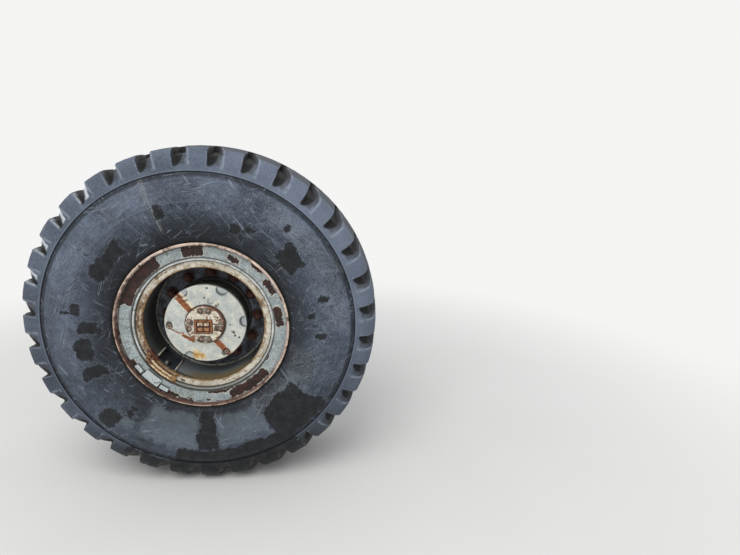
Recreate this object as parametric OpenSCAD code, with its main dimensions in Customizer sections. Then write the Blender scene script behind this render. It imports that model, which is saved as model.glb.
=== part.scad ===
// Rear wheel end of an articulated dump truck: earthmover tyre on a five-piece rim,
// planetary hub, dry brake disc with its caliper, and the spindle that bolts to the axle casing.
// The wheel turns about the Y axis. -Y is outboard, +X is the front of the truck, +Z is up.
// The origin is the middle of the face that bolts to the axle casing.

/* [Wheel place] */
// From the axle flange face out to the middle plane of the wheel
wheel_offset = 280; // [276:1:300]

/* [Tyre] */
// Outside diameter over the worn lugs
tyre_d = 1590; // [1560:2:1620]
// Width across the sidewalls
tyre_w = 596; // [580:2:616]
// Radius at which the sidewalls are widest
bulge_r = 560; // [540:1:580]
// From the crown down to the moulded line round the sidewall
line_drop = 117; // [108:1:124]
// Half width of the tread, from the middle plane to the shoulder
tread_half = 235; // [226:1:240]
// How much lower the shoulder is than the crown
crown_drop = 20; // [12:1:28]
// Groove depth left between the lugs
groove_depth = 30; // [20:1:36]
// Lugs on each shoulder
lug_count = 32; // [28:1:34]
// Half width of a lug at the shoulder
lug_half = 43; // [38:1:48]
// Half width of a lug where it runs into the middle rib
lug_root_half = 62; // [54:1:66]
// Angle by which a lug leads from the shoulder to the middle rib
lug_skew = 3; // [0:0.5:6]
// Half width of the rib round the middle of the tread
rib_half = 24; // [18:1:32]
// Thickness of the sidewall
side_wall = 32; // [24:1:40]
// Thickness of the tread under the crown, lugs included
tread_wall = 92; // [84:1:100]

/* [Rim] */
// Diameter of the bead seats
seat_d = 635; // [630:1:640]
// Width between the two flanges
rim_w = 495.3; // [488:0.1:502]
// Height of a flange above the bead seat
flange_h = 63.5; // [58:0.5:68]
// Depth of a flange from the bead to its lip
flange_w = 32; // [28:1:36]
// Plate thickness of a flange ring
flange_t = 11; // [9:0.5:12]
// Taper of the bead seats in degrees
seat_taper = 5; // [3:0.5:6]
// Wall of the bead seat band at its thin end
band_wall = 6; // [5:0.5:7]
// Width of the bead seat band
band_w = 96; // [86:1:110]
// Depth of the gutter face behind the lip
gutter_depth = 36; // [34:0.5:38]
// From the bead seat in to the opening in the gutter
gutter_inset = 50.5; // [48:0.5:54]
// Wall of the rim base behind the mounting disc
base_wall = 12; // [10:1:16]

/* [Lock ring] */
// From the bead seat in to the outside of the lock ring
lock_inset = 5.5; // [5:0.5:7]
// Depth of the lock ring's face behind the lip
lock_depth = 27; // [25:0.5:29]
// Gap where the lock ring is split
lock_gap = 8; // [4:1:12]
// Direction of the split, the key and the valve, in degrees up from the front
key_angle = -134; // [-150:0.5:-120]
// Angle that the key bar spans
key_span = 28; // [26:1:32]
// Angle that the valve recess spans
recess_span = 21; // [18:1:24]

/* [Mounting disc] */
// Depth of the disc's outer face behind the lip
disc_depth = 206; // [198:1:212]
// Thickness of the disc
disc_t = 24; // [20:1:28]
// Diameter of the pilot bore
pilot_d = 370; // [364:1:374]
// Number of wheel studs
stud_count = 12; // [10:1:14]
// Diameter of the stud circle
stud_circle_d = 425; // [418:1:432]
// Stud diameter
stud_d = 22; // [20:1:24]
// Clearance round a stud in the disc
stud_clearance = 2; // [1:0.5:3]
// Width across the flats of a wheel nut
nut_flats = 33; // [30:1:36]
// Height of a wheel nut
nut_h = 27; // [22:1:30]
// Collar diameter of a wheel nut
nut_collar_d = 46; // [42:1:50]

/* [Hub] */
// Diameter of the hub flange behind the disc
hub_flange_d = 492; // [480:2:500]
// Thickness of the hub flange
hub_flange_t = 22; // [18:1:26]
// Diameter of the bearing housing behind the flange
hub_body_d = 300; // [280:2:310]
// From the casing flange out to the hub's inner end
hub_stand = 162; // [156:1:168]
// Diameter of the planet housing
housing_d = 360; // [350:1:364]
// Depth of the joint between housing and cover
cover_joint_depth = 84; // [78:1:90]

/* [Cover and cap] */
// Diameter of the hub cover
cover_d = 364; // [356:1:368]
// Depth of the cover's face behind the lip
cover_depth = 56; // [50:1:60]
// Number of pockets round the cover's edge
pocket_count = 6; // [5:1:8]
// Radius of an edge pocket
pocket_r = 27; // [22:1:30]
// Depth of an edge pocket
pocket_depth = 10; // [6:1:14]
// Direction of the first pocket in degrees
pocket_phase = 4; // [0:1:8]
// Circle radius of the cover screws
cover_screw_r = 160; // [156:1:164]
// Diameter of a cover screw's head
screw_head_d = 20; // [18:1:24]
// Diameter of the centre cap
cap_d = 174; // [166:1:180]
// How far the cap stands proud of the cover
cap_h = 15; // [12:1:18]
// Circle radius of the cap bolts
cap_bolt_r = 70; // [67:1:72]
// Half angle between the two bolts of a pair
cap_pair_angle = 15; // [13:1:17]
// Width of the raised plate on the cap
plate_w = 74; // [66:1:78]
// Height of the raised plate on the cap
plate_h = 59; // [50:1:62]

/* [Brake] */
// Room between the brake disc and the rim, for the caliper's bridge
brake_room = 40; // [36:1:46]
// Thickness of the brake disc
brake_t = 24; // [20:1:28]
// Gap between the disc and a pad
pad_gap = 0.4; // [0.3:0.1:1]
// Thickness of a pad with its plate
pad_t = 16; // [12:1:18]
// Angle that the caliper spans
caliper_span = 46; // [36:1:54]
// Direction of the caliper in degrees up from the front
caliper_angle = 160; // [120:5:200]

/* [Spindle] */
// Diameter of the spindle flange
spindle_flange_d = 400; // [390:2:420]
// Thickness of the spindle flange
spindle_flange_t = 30; // [24:1:36]
// Number of bolts through the spindle flange
casing_bolt_count = 16; // [12:1:20]
// Bolt circle of the spindle flange
casing_circle_d = 350; // [344:1:360]
// Bolt hole diameter in the spindle flange
casing_hole_d = 22; // [18:1:24]
// Diameter of the bearing journals
journal_d = 150; // [140:1:160]
// Running clearance of the hub on its journals
journal_clearance = 0.3; // [0.3:0.05:0.6]
// Diameter of the half shaft
shaft_d = 62; // [56:1:68]
// Clearance round the half shaft in the spindle
shaft_clearance = 6; // [5:0.5:8]
// How far the half shaft stands out past the flange face
shaft_out = 70; // [60:1:90]
// Number of splines on the half shaft
spline_count = 24; // [18:1:30]

/* [Hidden] */
$fn = 96;

tyre_r = tyre_d / 2;
half_w = tyre_w / 2;
seat_r = seat_d / 2;
flange_r = seat_r + flange_h;
flange_place = rim_w / 2;
lip_z = wheel_offset + flange_place + flange_w;
line_r = tyre_r - line_drop;
gutter_r = seat_r - gutter_inset;
lock_r = seat_r - lock_inset;
fit = 0.3;
lug_pitch = 360 / lug_count;

// Seat on the rim and the way the sidewall leaves the flange
bead_w = 62;
bead_h = 28;
flange_curl_r = flange_w - 12;
rim_rise = 5;
lower_tuck = 24;
upper_tuck = 23;
line_groove = 5;
line_half = 3;
line_run = 15;
// Where the groove ends on the buttress below the shoulder
buttress_drop = 95;
lug_sink = 10;
lug_foot_r = tyre_r - buttress_drop - lug_sink;
lug_chamfer = 6;
lug_draft = 6;
// How far the shoulder end of a lug drops below the crown at three steps down the buttress,
// how far each step stands out past the edge of the tread, and how much narrower the lug is there
step_drop = [14, 42, 70];
step_out = [12, 26, 32];
step_in = [3, 5, 9];
// The ramp beside a lug, which fills the shoulder end of the groove from the lug's rounded corner down:
// its width at four steps out along the lug, and how far it lies below the lug's top at either side
ramp_w = [30, 42, 42, 42];
ramp_high = [26, 10, 8, 4];
ramp_low = [34, 33, 23, 6];
corner_cut = [8, 9, 7, 3];
ramp_sink = 3;
edge_t = tread_half - 12;
// Casing walls: the inner ply stands off the bead, and the belt edge drops below the crown
ply_rise = 20;
belt_edge = 50;
belt_drop = 14;

// Distance along the axis from the flange face for a depth behind the outboard lip
function out(depth) = lip_z - depth;
function deg(arc, r) = arc / r * 180 / PI;
function arc_points(centre, r, from, to, steps) =
    [for (i = [0:steps]) let (a = from + (to - from) * i / steps) centre + r * [cos(a), sin(a)]];

// Radius of the lug tops and of the groove floor at a distance t from the middle plane
function crown(t) = tyre_r - crown_drop * pow(t / tread_half, 2);
function groove_floor(t) = crown(t) - groove_depth;

// Distance of the sidewall from the middle plane at radius r
function sidewall(r) = half_w - (r < bulge_r
    ? lower_tuck * pow((bulge_r - r) / (bulge_r - flange_r), 2)
    : upper_tuck * pow((r - bulge_r) / (line_r - bulge_r), 2));

// One half of the tyre's outside as [radius, distance from the middle plane]
function casing_outside() = concat(
    [[seat_r - bead_w * tan(seat_taper), flange_place - bead_w], [seat_r, flange_place - fit]],
    arc_points([flange_r - flange_curl_r, flange_place + flange_curl_r], flange_curl_r + fit, -90, 0, 8),
    [for (i = [1:5]) let (r = flange_r + rim_rise + (bulge_r - flange_r - rim_rise) * (i - 1) / 5)
        [r, sidewall(r)]],
    [for (i = [0:4]) let (r = bulge_r + (line_r - line_run - bulge_r) * i / 4) [r, sidewall(r)]],
    [[line_r, sidewall(line_r) - line_groove], [line_r + line_half, sidewall(line_r + line_half)]],
    [[tyre_r - buttress_drop, sidewall(tyre_r - buttress_drop)]],
    [for (i = [0:4]) let (t = tread_half - (tread_half - rib_half) * i / 4) [groove_floor(t), t]],
    [[crown(rib_half) + 1, rib_half - lug_chamfer]]);

// One half of the tyre's inside, from the bead up to the crown
function casing_inside() = concat(
    [[seat_r + bead_h, flange_place - bead_w + 6]],
    [for (i = [0:5]) let (from = flange_r + ply_rise, to = line_r - side_wall)
        let (r = from + (to - from) * i / 5) [r, sidewall(r) - side_wall]],
    [[tyre_r - tread_wall - belt_drop, tread_half - belt_edge], [tyre_r - tread_wall, 0]]);

function other_side(points) = [for (i = [len(points) - 1:-1:0]) [points[i].x, -points[i].y]];
function backwards(points) = [for (i = [len(points) - 1:-1:0]) points[i]];

// Lug sections from the middle rib out and down the shoulder: distance from the middle plane, top radius,
// foot radius, half width on top, cut of the rounded corner, then the ramp's width, high side and low side
function inner_section(t, half) = [t, crown(t), groove_floor(t) - lug_sink, half, lug_chamfer, lug_draft + 2,
    groove_depth + ramp_sink, groove_depth + ramp_sink + 2];
function shoulder_section(i, t, top_r, foot_r, half) =
    [t, top_r, foot_r, half, corner_cut[i], ramp_w[i], ramp_high[i], ramp_low[i]];
lug_sections = [
    inner_section(rib_half - 10, lug_root_half),
    inner_section(tread_half / 2, (lug_root_half + lug_half) / 2 + 3),
    shoulder_section(0, edge_t, crown(edge_t), groove_floor(edge_t) - lug_sink, lug_half),
    for (i = [0:2]) shoulder_section(i + 1, tread_half + step_out[i], crown(tread_half) - step_drop[i],
        lug_foot_r, lug_half - step_in[i])];

// Closed rings of points joined along t
module loft(rings) {
    n = len(rings[0]);
    last = len(rings) - 1;
    points = [for (ring = rings) for (p = ring) p];
    sides = [for (j = [0:last - 1]) for (i = [0:n - 1]) let (k = (i + 1) % n) each
        [[j * n + i, j * n + k, (j + 1) * n + k], [j * n + i, (j + 1) * n + k, (j + 1) * n + i]]];
    near = [for (i = [1:n - 2]) [0, i + 1, i]];
    far = [for (i = [1:n - 2]) [last * n, last * n + i, last * n + i + 1]];
    polyhedron(points, concat(sides, near, far));
}

function skew(t) = lug_skew * (1 - t / tread_half);
function tread_point(t, r, across) =
    let (a = skew(t) + deg(across, r)) [r * cos(a), r * sin(a), t];
function lug_ring(s) = [
    tread_point(s[0], s[2], -s[3] - lug_draft), tread_point(s[0], s[2], s[3] + s[5] + 2),
    tread_point(s[0], s[1] - s[7], s[3] + s[5]), tread_point(s[0], s[1] - s[6], s[3] + lug_draft / 2),
    tread_point(s[0], s[1] - s[4], s[3]), tread_point(s[0], s[1], s[3] - s[4]),
    tread_point(s[0], s[1], -s[3] + lug_chamfer), tread_point(s[0], s[1] - lug_chamfer, -s[3])];

// Turns what is drawn along +Z so that it points outboard
module outboard() {
    rotate([90, 0, 0]) children();
}

// A ring turned from points given as [radius, depth behind the outboard lip]
module turned(points) {
    rotate_extrude() polygon([for (p = points) [p.x, out(p.y)]]);
}

module around(count, phase = 0) {
    for (i = [0:count - 1]) rotate([0, 0, phase + i * 360 / count]) children();
}

// A round bar along the axis between two depths
module bar(r, near, far) {
    translate([0, 0, out(far)]) cylinder(r = r, h = far - near);
}

module tyre() {
    color([0.16, 0.17, 0.19]) outboard() translate([0, 0, wheel_offset]) {
        rotate_extrude() polygon(concat(casing_outside(), other_side(casing_outside()),
            backwards(other_side(casing_inside())), backwards(casing_inside())));
        for (side = [0, 1]) mirror([0, 0, side])
            around(lug_count, side * lug_pitch / 2) loft([for (s = lug_sections) lug_ring(s)]);
    }
}

// Sizes of the rim's hidden steps
gutter_lip_r = lock_r - 13;
gutter_lip_t = 8;
lip_back_r = gutter_lip_r - 8;
groove_far = 66;
band_room = 7.5;
base_r = seat_r - band_wall - band_room;
disc_far = disc_depth + disc_t;
rim_far = 2 * flange_w + rim_w;
inner_face = flange_w + rim_w;
stop_r = seat_r + 14;
rim_in_r = base_r - base_wall;
neck_slope = 50;
back_slope = 60;
taper_drop = bead_w * tan(seat_taper);
recess_r = gutter_r + 22;
recess_far = disc_depth - 6;
recess_near = gutter_depth + 16;
weld_leg = 6;
weld_run = 34;

// Where the gutter section of the base is butt welded to its centre band
band_depth = disc_far + weld_run + 12;

// Front section of the rim base, with the gutter, the dish wall and the valve recess
module gutter_section() {
    color([0.55, 0.56, 0.52]) outboard() {
        recess_sides();
        difference() {
            gutter_ring();
            valve_recess();
        }
    }
}

// Ring of the gutter section, before the valve recess is cut
module gutter_ring() {
    turned([[gutter_r, gutter_depth], [gutter_lip_r - 2, gutter_depth],
        [gutter_lip_r, gutter_depth + 2], [gutter_lip_r, gutter_depth + gutter_lip_t],
        [lip_back_r, gutter_depth + gutter_lip_t + 2], [lip_back_r, groove_far - 2],
        [base_r, groove_far + 4], [base_r, band_depth], [rim_in_r, band_depth],
        [rim_in_r, disc_far + weld_run], [gutter_r, disc_far + weld_leg]]);
}

// Centre band of the rim base, with the fixed inner seat and its stop
module rim_base() {
    color([0.55, 0.56, 0.52]) outboard() turned([[rim_in_r, band_depth], [base_r, band_depth],
        [base_r, inner_face - bead_w - neck_slope], [seat_r - taper_drop, inner_face - bead_w],
        [seat_r, inner_face], [seat_r, inner_face + flange_t + 1], [stop_r, inner_face + flange_t + 1],
        [stop_r, rim_far - 6], [stop_r - 4, rim_far - 2], [base_r - 2, rim_far - 2],
        [rim_in_r, rim_far - back_slope]]);
}

side_bar_t = 5;
side_bar_out = 6;
side_bar_far = disc_depth - weld_leg - 1;
side_bar_l = side_bar_far - gutter_depth - 2;

// Flat bars welded along the two sides of the valve recess
module recess_sides() {
    for (side = [-1, 1]) rotate([0, 0, key_angle + side * (recess_span / 2 + deg(side_bar_t / 2, gutter_r))])
        translate([gutter_r - side_bar_out, -side_bar_t / 2, out(side_bar_far)])
            cube([2 * side_bar_out, side_bar_t, side_bar_l]);
}

// The pocket in the gutter wall that the valve lies in
module valve_recess() {
    rotate([0, 0, key_angle - recess_span / 2]) rotate_extrude(angle = recess_span)
        translate([0, out(recess_far)]) square([recess_r, recess_far - recess_near]);
}

// Pressed disc welded inside the gutter, with its pilot bore and stud holes
module mounting_disc() {
    color([0.30, 0.31, 0.30]) outboard() difference() {
        turned([[pilot_d / 2, disc_depth + 2], [pilot_d / 2 + 2, disc_depth],
            [gutter_r - 2 * weld_leg, disc_depth], [gutter_r, disc_depth - weld_leg + 1],
            [gutter_r, disc_far + weld_leg - 1], [gutter_r - weld_leg - 2, disc_far],
            [pilot_d / 2, disc_far]]);
        around(stud_count) translate([stud_circle_d / 2, 0, out(disc_far) - 1])
            cylinder(d = stud_d + stud_clearance, h = disc_t + 2);
    }
}

band_lip = 10;
lock_face = 13;

// Loose band that carries the outboard bead and bears on the lock ring
module bead_seat_band() {
    color([0.60, 0.62, 0.58]) outboard() turned([[lock_r + fit, flange_w - band_lip],
        [seat_r, flange_w - band_lip], [seat_r, flange_w], [seat_r - taper_drop, flange_w + bead_w],
        [seat_r - band_w * tan(seat_taper), flange_w + band_w], [base_r + fit, flange_w + band_w],
        [base_r + fit, groove_far], [lock_r + fit, lock_depth + lock_face + 1]]);
}

// Section of a flange ring: an upright wall that curls over to the lip
module flange_section() {
    inner_r = flange_curl_r - flange_t;
    polygon(concat([[seat_r, 0]],
        arc_points([flange_r - flange_curl_r, flange_curl_r], flange_curl_r, -90, 0, 8),
        [[flange_r, flange_w - 2], [flange_r - 2, flange_w], [flange_r - flange_t + 2, flange_w],
            [flange_r - flange_t, flange_w - 2]],
        backwards(arc_points([flange_r - flange_curl_r, flange_curl_r], inner_r, -90, 0, 6)),
        [[seat_r, flange_t]]));
}

module flange_ring(side) {
    translate([0, 0, wheel_offset]) mirror([0, 0, side])
        rotate_extrude() translate([0, flange_place]) flange_section();
}

module outer_flange_ring() {
    color([0.58, 0.60, 0.56]) outboard() flange_ring(0);
}

module inner_flange_ring() {
    color([0.58, 0.60, 0.56]) outboard() flange_ring(1);
}

// Split ring that locks the bead seat band to the gutter
module lock_ring() {
    color([0.68, 0.69, 0.66]) outboard() difference() {
        turned([[gutter_lip_r + fit, lock_depth + 2], [gutter_lip_r + 2, lock_depth],
            [lock_r - 3, lock_depth], [lock_r, lock_depth + 3], [lock_r, lock_depth + lock_face],
            [base_r + fit, groove_far - 1], [base_r + fit, groove_far + 2],
            [lip_back_r + fit, groove_far - 4],
            [lip_back_r + fit, gutter_depth + gutter_lip_t + 3],
            [gutter_lip_r + fit, gutter_depth + gutter_lip_t + 1]]);
        rotate([0, 0, key_angle]) translate([0, -lock_gap / 2, out(groove_far + 10)])
            cube([seat_r, lock_gap, groove_far]);
    }
}

key_t = 17;
key_w = 29;
key_bead = 3;
key_far = gutter_depth;
key_near = gutter_depth - key_t;
key_foot_r = gutter_lip_r - 1;
key_out_r = lock_r - 5;
key_in_r = key_out_r - key_w;
key_mid_r = (key_in_r + key_out_r) / 2;
key_bolt_r = (key_in_r + key_foot_r) / 2;
key_eye_r = key_foot_r - key_bolt_r;
key_hole_r = 5;
block_t = 11;
block_out_r = flange_r - flange_curl_r;
block_in_r = seat_r + 2;
block_span = 14;
tooth_in_r = block_out_r - 2 * block_t;
tooth_span = 7;
tooth_gap = 1.2;
base_t = 3;
base_inset = 3;
base_span = block_span + 2 * tooth_gap + 4;

// Curved bar bolted over the split of the lock ring
module lock_key() {
    color([0.62, 0.47, 0.36]) outboard() difference() {
        union() {
            rotate([0, 0, key_angle - key_span / 2]) rotate_extrude(angle = key_span)
                polygon([[key_in_r, out(key_far)], [key_foot_r, out(key_far)],
                    [key_foot_r, out(lock_depth - fit)], [key_out_r, out(lock_depth - fit)],
                    [key_out_r, out(key_near + key_bead)], [key_out_r - key_bead, out(key_near)],
                    [key_mid_r + 2, out(key_near)], [key_mid_r, out(key_near + key_bead)],
                    [key_mid_r - 2, out(key_near)], [key_in_r + key_bead, out(key_near)],
                    [key_in_r, out(key_near + key_bead)]]);
            key_ends() cylinder(r = key_eye_r, h = key_t - 2);
        }
        key_ends() translate([0, 0, -1]) cylinder(r = key_hole_r, h = key_t + 2);
    }
}

module key_ends() {
    for (end = [-1, 1]) rotate([0, 0, key_angle + end * key_span / 2])
        translate([key_bolt_r, 0, out(key_far)]) children();
}

// Driver plate on the flange wall between two narrower blocks, which keeps the rings from creeping round
module driver_block() {
    color([0.52, 0.54, 0.53]) outboard() rotate([0, 0, key_angle]) {
        wall_plate(-block_span / 2, block_span, block_in_r, block_t);
        for (from = [-tooth_gap - tooth_span, tooth_gap]) wall_plate(
            (from < 0 ? -1 : 1) * block_span / 2 + from, tooth_span, tooth_in_r, block_t - 2);
        rotate([0, 0, -base_span / 2]) rotate_extrude(angle = base_span)
            polygon([[tooth_in_r + base_inset, out(flange_w - flange_t)],
                [block_out_r - base_inset, out(flange_w - flange_t)],
                [block_out_r - base_inset, out(flange_w - flange_t - base_t)],
                [tooth_in_r + base_inset, out(flange_w - flange_t - base_t)]]);
    }
}

// A curved plate on the flange wall, from an angle and over a span, with bevelled edges
module wall_plate(from, span, inner_r, t) {
    near = flange_w - flange_t - t;
    bevel = t / 5;
    rotate([0, 0, from]) rotate_extrude(angle = span)
        polygon([[inner_r, out(flange_w - flange_t)], [block_out_r, out(flange_w - flange_t)],
            [block_out_r, out(near + bevel)], [block_out_r - bevel, out(near)],
            [inner_r + bevel, out(near)], [inner_r, out(near + bevel)]]);
}

valve_depth = (recess_near + recess_far) / 2 - 10;
valve_bend_r = recess_r - 15;
stem_r = 5.5;
stem_l = 34;
valve_cap_r = 7.5;
valve_cap_l = 16;
spud_r = 11;
spud_h = 8;

// Valve spud with its bent stem and cap
module valve_stem() {
    color([0.35, 0.36, 0.35]) outboard() rotate([0, 0, key_angle])
        translate([valve_bend_r, 0, out(valve_depth)]) {
            rotate([0, 90, 0]) cylinder(r = stem_r, h = recess_r - valve_bend_r - spud_h + 2);
            translate([recess_r - valve_bend_r - spud_h - fit, 0, 0]) rotate([0, 90, 0])
                cylinder(r = spud_r, h = spud_h, $fn = 6);
            sphere(r = stem_r, $fn = 32);
            cylinder(r = stem_r, h = stem_l);
            translate([0, 0, stem_l]) cylinder(r = valve_cap_r, h = valve_cap_l);
        }
}

stud_out = 10;
stud_head_d = 34;
stud_head_h = 12;

// Wheel nuts on their studs, each stud pressed in from behind the hub flange
module wheel_nuts() {
    back = disc_far + hub_flange_t;
    color([0.24, 0.19, 0.17]) outboard() around(stud_count) translate([stud_circle_d / 2, 0, 0]) {
        bar(stud_d / 2, disc_depth - nut_h - stud_out, back + stud_head_h);
        bar(stud_head_d / 2, back, back + stud_head_h);
        bar(nut_collar_d / 2, disc_depth - 5, disc_depth);
        translate([0, 0, out(disc_depth)]) cylinder(d = nut_flats / cos(30), h = nut_h, $fn = 6);
    }
}

journal_r = journal_d / 2;
bore_r = journal_r + journal_clearance;
hub_front = disc_depth - 4;
hub_end_depth = lip_z - hub_stand;
hub_body_r = hub_body_d / 2;
brake_seat_r = hub_body_r + 22;
brake_seat_l = 26;
neck_run = 44;
pilot_r = pilot_d / 2;
land_w = 38;
relief = 12;

// Cast hub with its flange, bearing housing and brake seat
module hub() {
    back = disc_far + hub_flange_t;
    color([0.33, 0.34, 0.33]) outboard() difference() {
        turned([[bore_r, hub_front], [pilot_r - fit, hub_front], [pilot_r - fit, disc_far],
            [hub_flange_d / 2 - 2, disc_far], [hub_flange_d / 2, disc_far + 2],
            [hub_flange_d / 2, back - 3], [hub_flange_d / 2 - 3, back],
            [pilot_r + 2, back], [pilot_r - relief, back + 8], [hub_body_r, back + neck_run],
            [hub_body_r, hub_end_depth - brake_seat_l - relief],
            [brake_seat_r, hub_end_depth - brake_seat_l],
            [brake_seat_r, hub_end_depth], [bore_r, hub_end_depth],
            [bore_r, hub_end_depth - land_w], [bore_r + relief, hub_end_depth - land_w - 8],
            [bore_r + relief, hub_front + land_w + 8], [bore_r, hub_front + land_w]]);
        around(stud_count) translate([stud_circle_d / 2, 0, out(back) - 1])
            cylinder(d = stud_d, h = hub_flange_t + 2);
    }
}

housing_r = housing_d / 2;
housing_lip = 18;
housing_step = 5;
housing_foot = 6;

// Drum that holds the planet gears, closed by the cover
module planet_housing() {
    wall_r = housing_r - housing_step;
    color([0.36, 0.37, 0.34]) outboard() turned([[0, cover_joint_depth],
        [housing_r - 1, cover_joint_depth], [housing_r, cover_joint_depth + 1],
        [housing_r, cover_joint_depth + housing_lip],
        [wall_r, cover_joint_depth + housing_lip + housing_foot],
        [wall_r, hub_front - 2 * housing_foot], [pilot_r - fit, hub_front - housing_foot],
        [pilot_r - fit, hub_front], [0, hub_front]]);
}

cover_r = cover_d / 2;
cover_round = 5;
pocket_at = cover_r - 5;
screw_bore_r = screw_head_d / 2 + 5;
screw_head_h = 12;
spanner_slot = 12;
screw_places = [3, 5];

function pocket_angle(i) = pocket_phase + i * 360 / pocket_count;
function has_screw(i) = len(search(i, screw_places)) > 0;

// Cast cover of the planet gears, with pockets round its edge for the screws
module hub_cover() {
    color([0.74, 0.77, 0.79]) outboard() difference() {
        rotate_extrude() polygon(concat([[0, out(cover_joint_depth)], [cover_r, out(cover_joint_depth)]],
            arc_points([cover_r - cover_round, out(cover_depth + cover_round)], cover_round, 0, 90, 4),
            [[0, out(cover_depth)]]));
        for (i = [0:pocket_count - 1]) rotate([0, 0, pocket_angle(i)]) {
            if (has_screw(i)) screw_bore();
            else translate([pocket_at, 0, out(cover_depth + pocket_depth)])
                cylinder(r = pocket_r, h = pocket_depth + 1);
        }
    }
}

module screw_bore() {
    translate([cover_screw_r, 0, out(cover_depth + pocket_depth)]) {
        cylinder(r = screw_bore_r, h = pocket_depth + 1);
        translate([0, -spanner_slot / 2, pocket_depth - 4])
            cube([2 * screw_bore_r, spanner_slot, 5]);
    }
}

// Socket head screws left in two of the pockets
module cover_screws() {
    color([0.45, 0.38, 0.33]) outboard() for (i = screw_places)
        rotate([0, 0, pocket_angle(i)])
            translate([cover_screw_r, 0, out(cover_depth + pocket_depth)]) difference() {
                cylinder(d = screw_head_d, h = screw_head_h);
                translate([0, 0, screw_head_h / 2])
                    cylinder(d = screw_head_d / 2, h = screw_head_h, $fn = 6);
            }
}

cap_r = cap_d / 2;
cap_pocket = 5;
cap_sides = 4;
cap_bolt_flats = 13;
washer_d = 17;

// Round cap over the sun gear, with a shallow recess under each pair of bolts
module centre_cap() {
    near = cover_depth - cap_h;
    reach = cap_pair_angle + deg(washer_d / 2 + 1, cap_bolt_r);
    color([0.72, 0.64, 0.58]) outboard() difference() {
        turned([[0, near], [cap_r - 4, near], [cap_r, near + 4], [cap_r, cover_depth],
            [0, cover_depth]]);
        around(cap_sides) rotate([0, 0, -reach]) rotate_extrude(angle = 2 * reach)
            translate([cap_bolt_r - washer_d / 2 - 2, out(near + cap_pocket)])
                square([washer_d + 4, cap_pocket + 1]);
    }
}

// Washer head bolts round the cap, two in each recess
module cap_bolts() {
    color([0.42, 0.33, 0.28]) outboard() around(cap_sides) for (side = [-1, 1])
        rotate([0, 0, side * cap_pair_angle])
            translate([cap_bolt_r, 0, out(cover_depth - cap_h + cap_pocket)]) {
                cylinder(d = washer_d, h = 1.5);
                cylinder(d = cap_bolt_flats / cos(30), h = 8, $fn = 6);
            }
}

plate_x = -6;
plate_y = -8;
plate_t = 5;
plate_frame = 5;
plate_floor = 2;
pad_w = 24;
pad_h = 17;
pad_rise = 2;
pad_step = [14, 12];

// Raised bare plate cast on the cap, with a rim round it and four low pads
module cap_plate() {
    color([0.50, 0.32, 0.24]) outboard() translate([plate_x, plate_y, out(cover_depth - cap_h)]) {
        difference() {
            translate([-plate_w / 2, -plate_h / 2, 0]) cube([plate_w, plate_h, plate_t]);
            translate([plate_frame - plate_w / 2, plate_frame - plate_h / 2, plate_floor])
                cube([plate_w - 2 * plate_frame, plate_h - 2 * plate_frame, plate_t]);
        }
        for (x = [-1, 1]) for (y = [-1, 1])
            translate([x * pad_step.x - pad_w / 2, y * pad_step.y - pad_h / 2, plate_floor / 2])
                cube([pad_w, pad_h, plate_floor / 2 + pad_rise]);
    }
}

brake_r = rim_in_r - brake_room;
disc_land = 60;
disc_in_r = brake_seat_r - disc_land;
disc_back = hub_end_depth + brake_t;

// Dry brake disc bolted to the hub's inner end
module brake_disc() {
    color([0.45, 0.43, 0.41]) outboard() turned([[disc_in_r, hub_end_depth],
        [brake_r - 2, hub_end_depth], [brake_r, hub_end_depth + 2], [brake_r, disc_back - 2],
        [brake_r - 2, disc_back], [disc_in_r, disc_back]]);
}

shaft_r = shaft_d / 2;
spindle_bore_r = shaft_r + shaft_clearance;
spindle_tip = hub_front + 10;
neck_r = journal_r + 13;
body_r = neck_r + 22;
foot_run = 30;
bracket_reach = 30;
bracket_near = disc_back + pad_gap + pad_t + bracket_reach;
bracket_t = 16;
brake_flange_r = hub_body_r + 12;
brake_flange_t = 16;
shaft_seal_l = 22;
flange_near = lip_z - spindle_flange_t;

// Fixed axle spindle with its bearing journals, brake flange and casing flange
module spindle() {
    color([0.34, 0.35, 0.33]) outboard() difference() {
        turned([[spindle_bore_r, spindle_tip], [journal_r - 3, spindle_tip],
            [journal_r, spindle_tip + 3], [journal_r, hub_end_depth + 2],
            [neck_r, hub_end_depth + 2], [neck_r, bracket_near - brake_flange_t - 6],
            [brake_flange_r, bracket_near - brake_flange_t], [brake_flange_r, bracket_near],
            [body_r, bracket_near], [body_r, flange_near - foot_run],
            [body_r + foot_run, flange_near], [spindle_flange_d / 2, flange_near],
            [spindle_flange_d / 2, lip_z - 2], [spindle_flange_d / 2 - 2, lip_z],
            [shaft_r + fit, lip_z], [shaft_r + fit, lip_z - shaft_seal_l],
            [spindle_bore_r, lip_z - shaft_seal_l - shaft_clearance]]);
        around(casing_bolt_count, 180 / casing_bolt_count) translate([casing_circle_d / 2, 0, -1])
            cylinder(d = casing_hole_d, h = spindle_flange_t + 2);
    }
}

seal_near = hub_end_depth + 2 + fit;
seal_far = hub_end_depth + 13;
seal_out_r = disc_in_r - 6;

// Seal carrier on the spindle's neck, against the hub's inner end
module seal_ring() {
    color([0.20, 0.20, 0.20]) outboard() turned([[neck_r, seal_near], [seal_out_r, seal_near],
        [seal_out_r, seal_far - 4], [seal_out_r - 4, seal_far], [neck_r, seal_far]]);
}

caliper_bite = 26;
caliper_in_r = hub_body_r + caliper_bite;
caliper_out_r = brake_r + brake_room / 2;
bridge_gap = 6;
cheek_t = 28;
ear_angle = 7;
ear_drop = 8;
piston_r = (caliper_out_r - caliper_in_r) / 3;
piston_l = 10;
pad_inset = 8;

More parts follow.
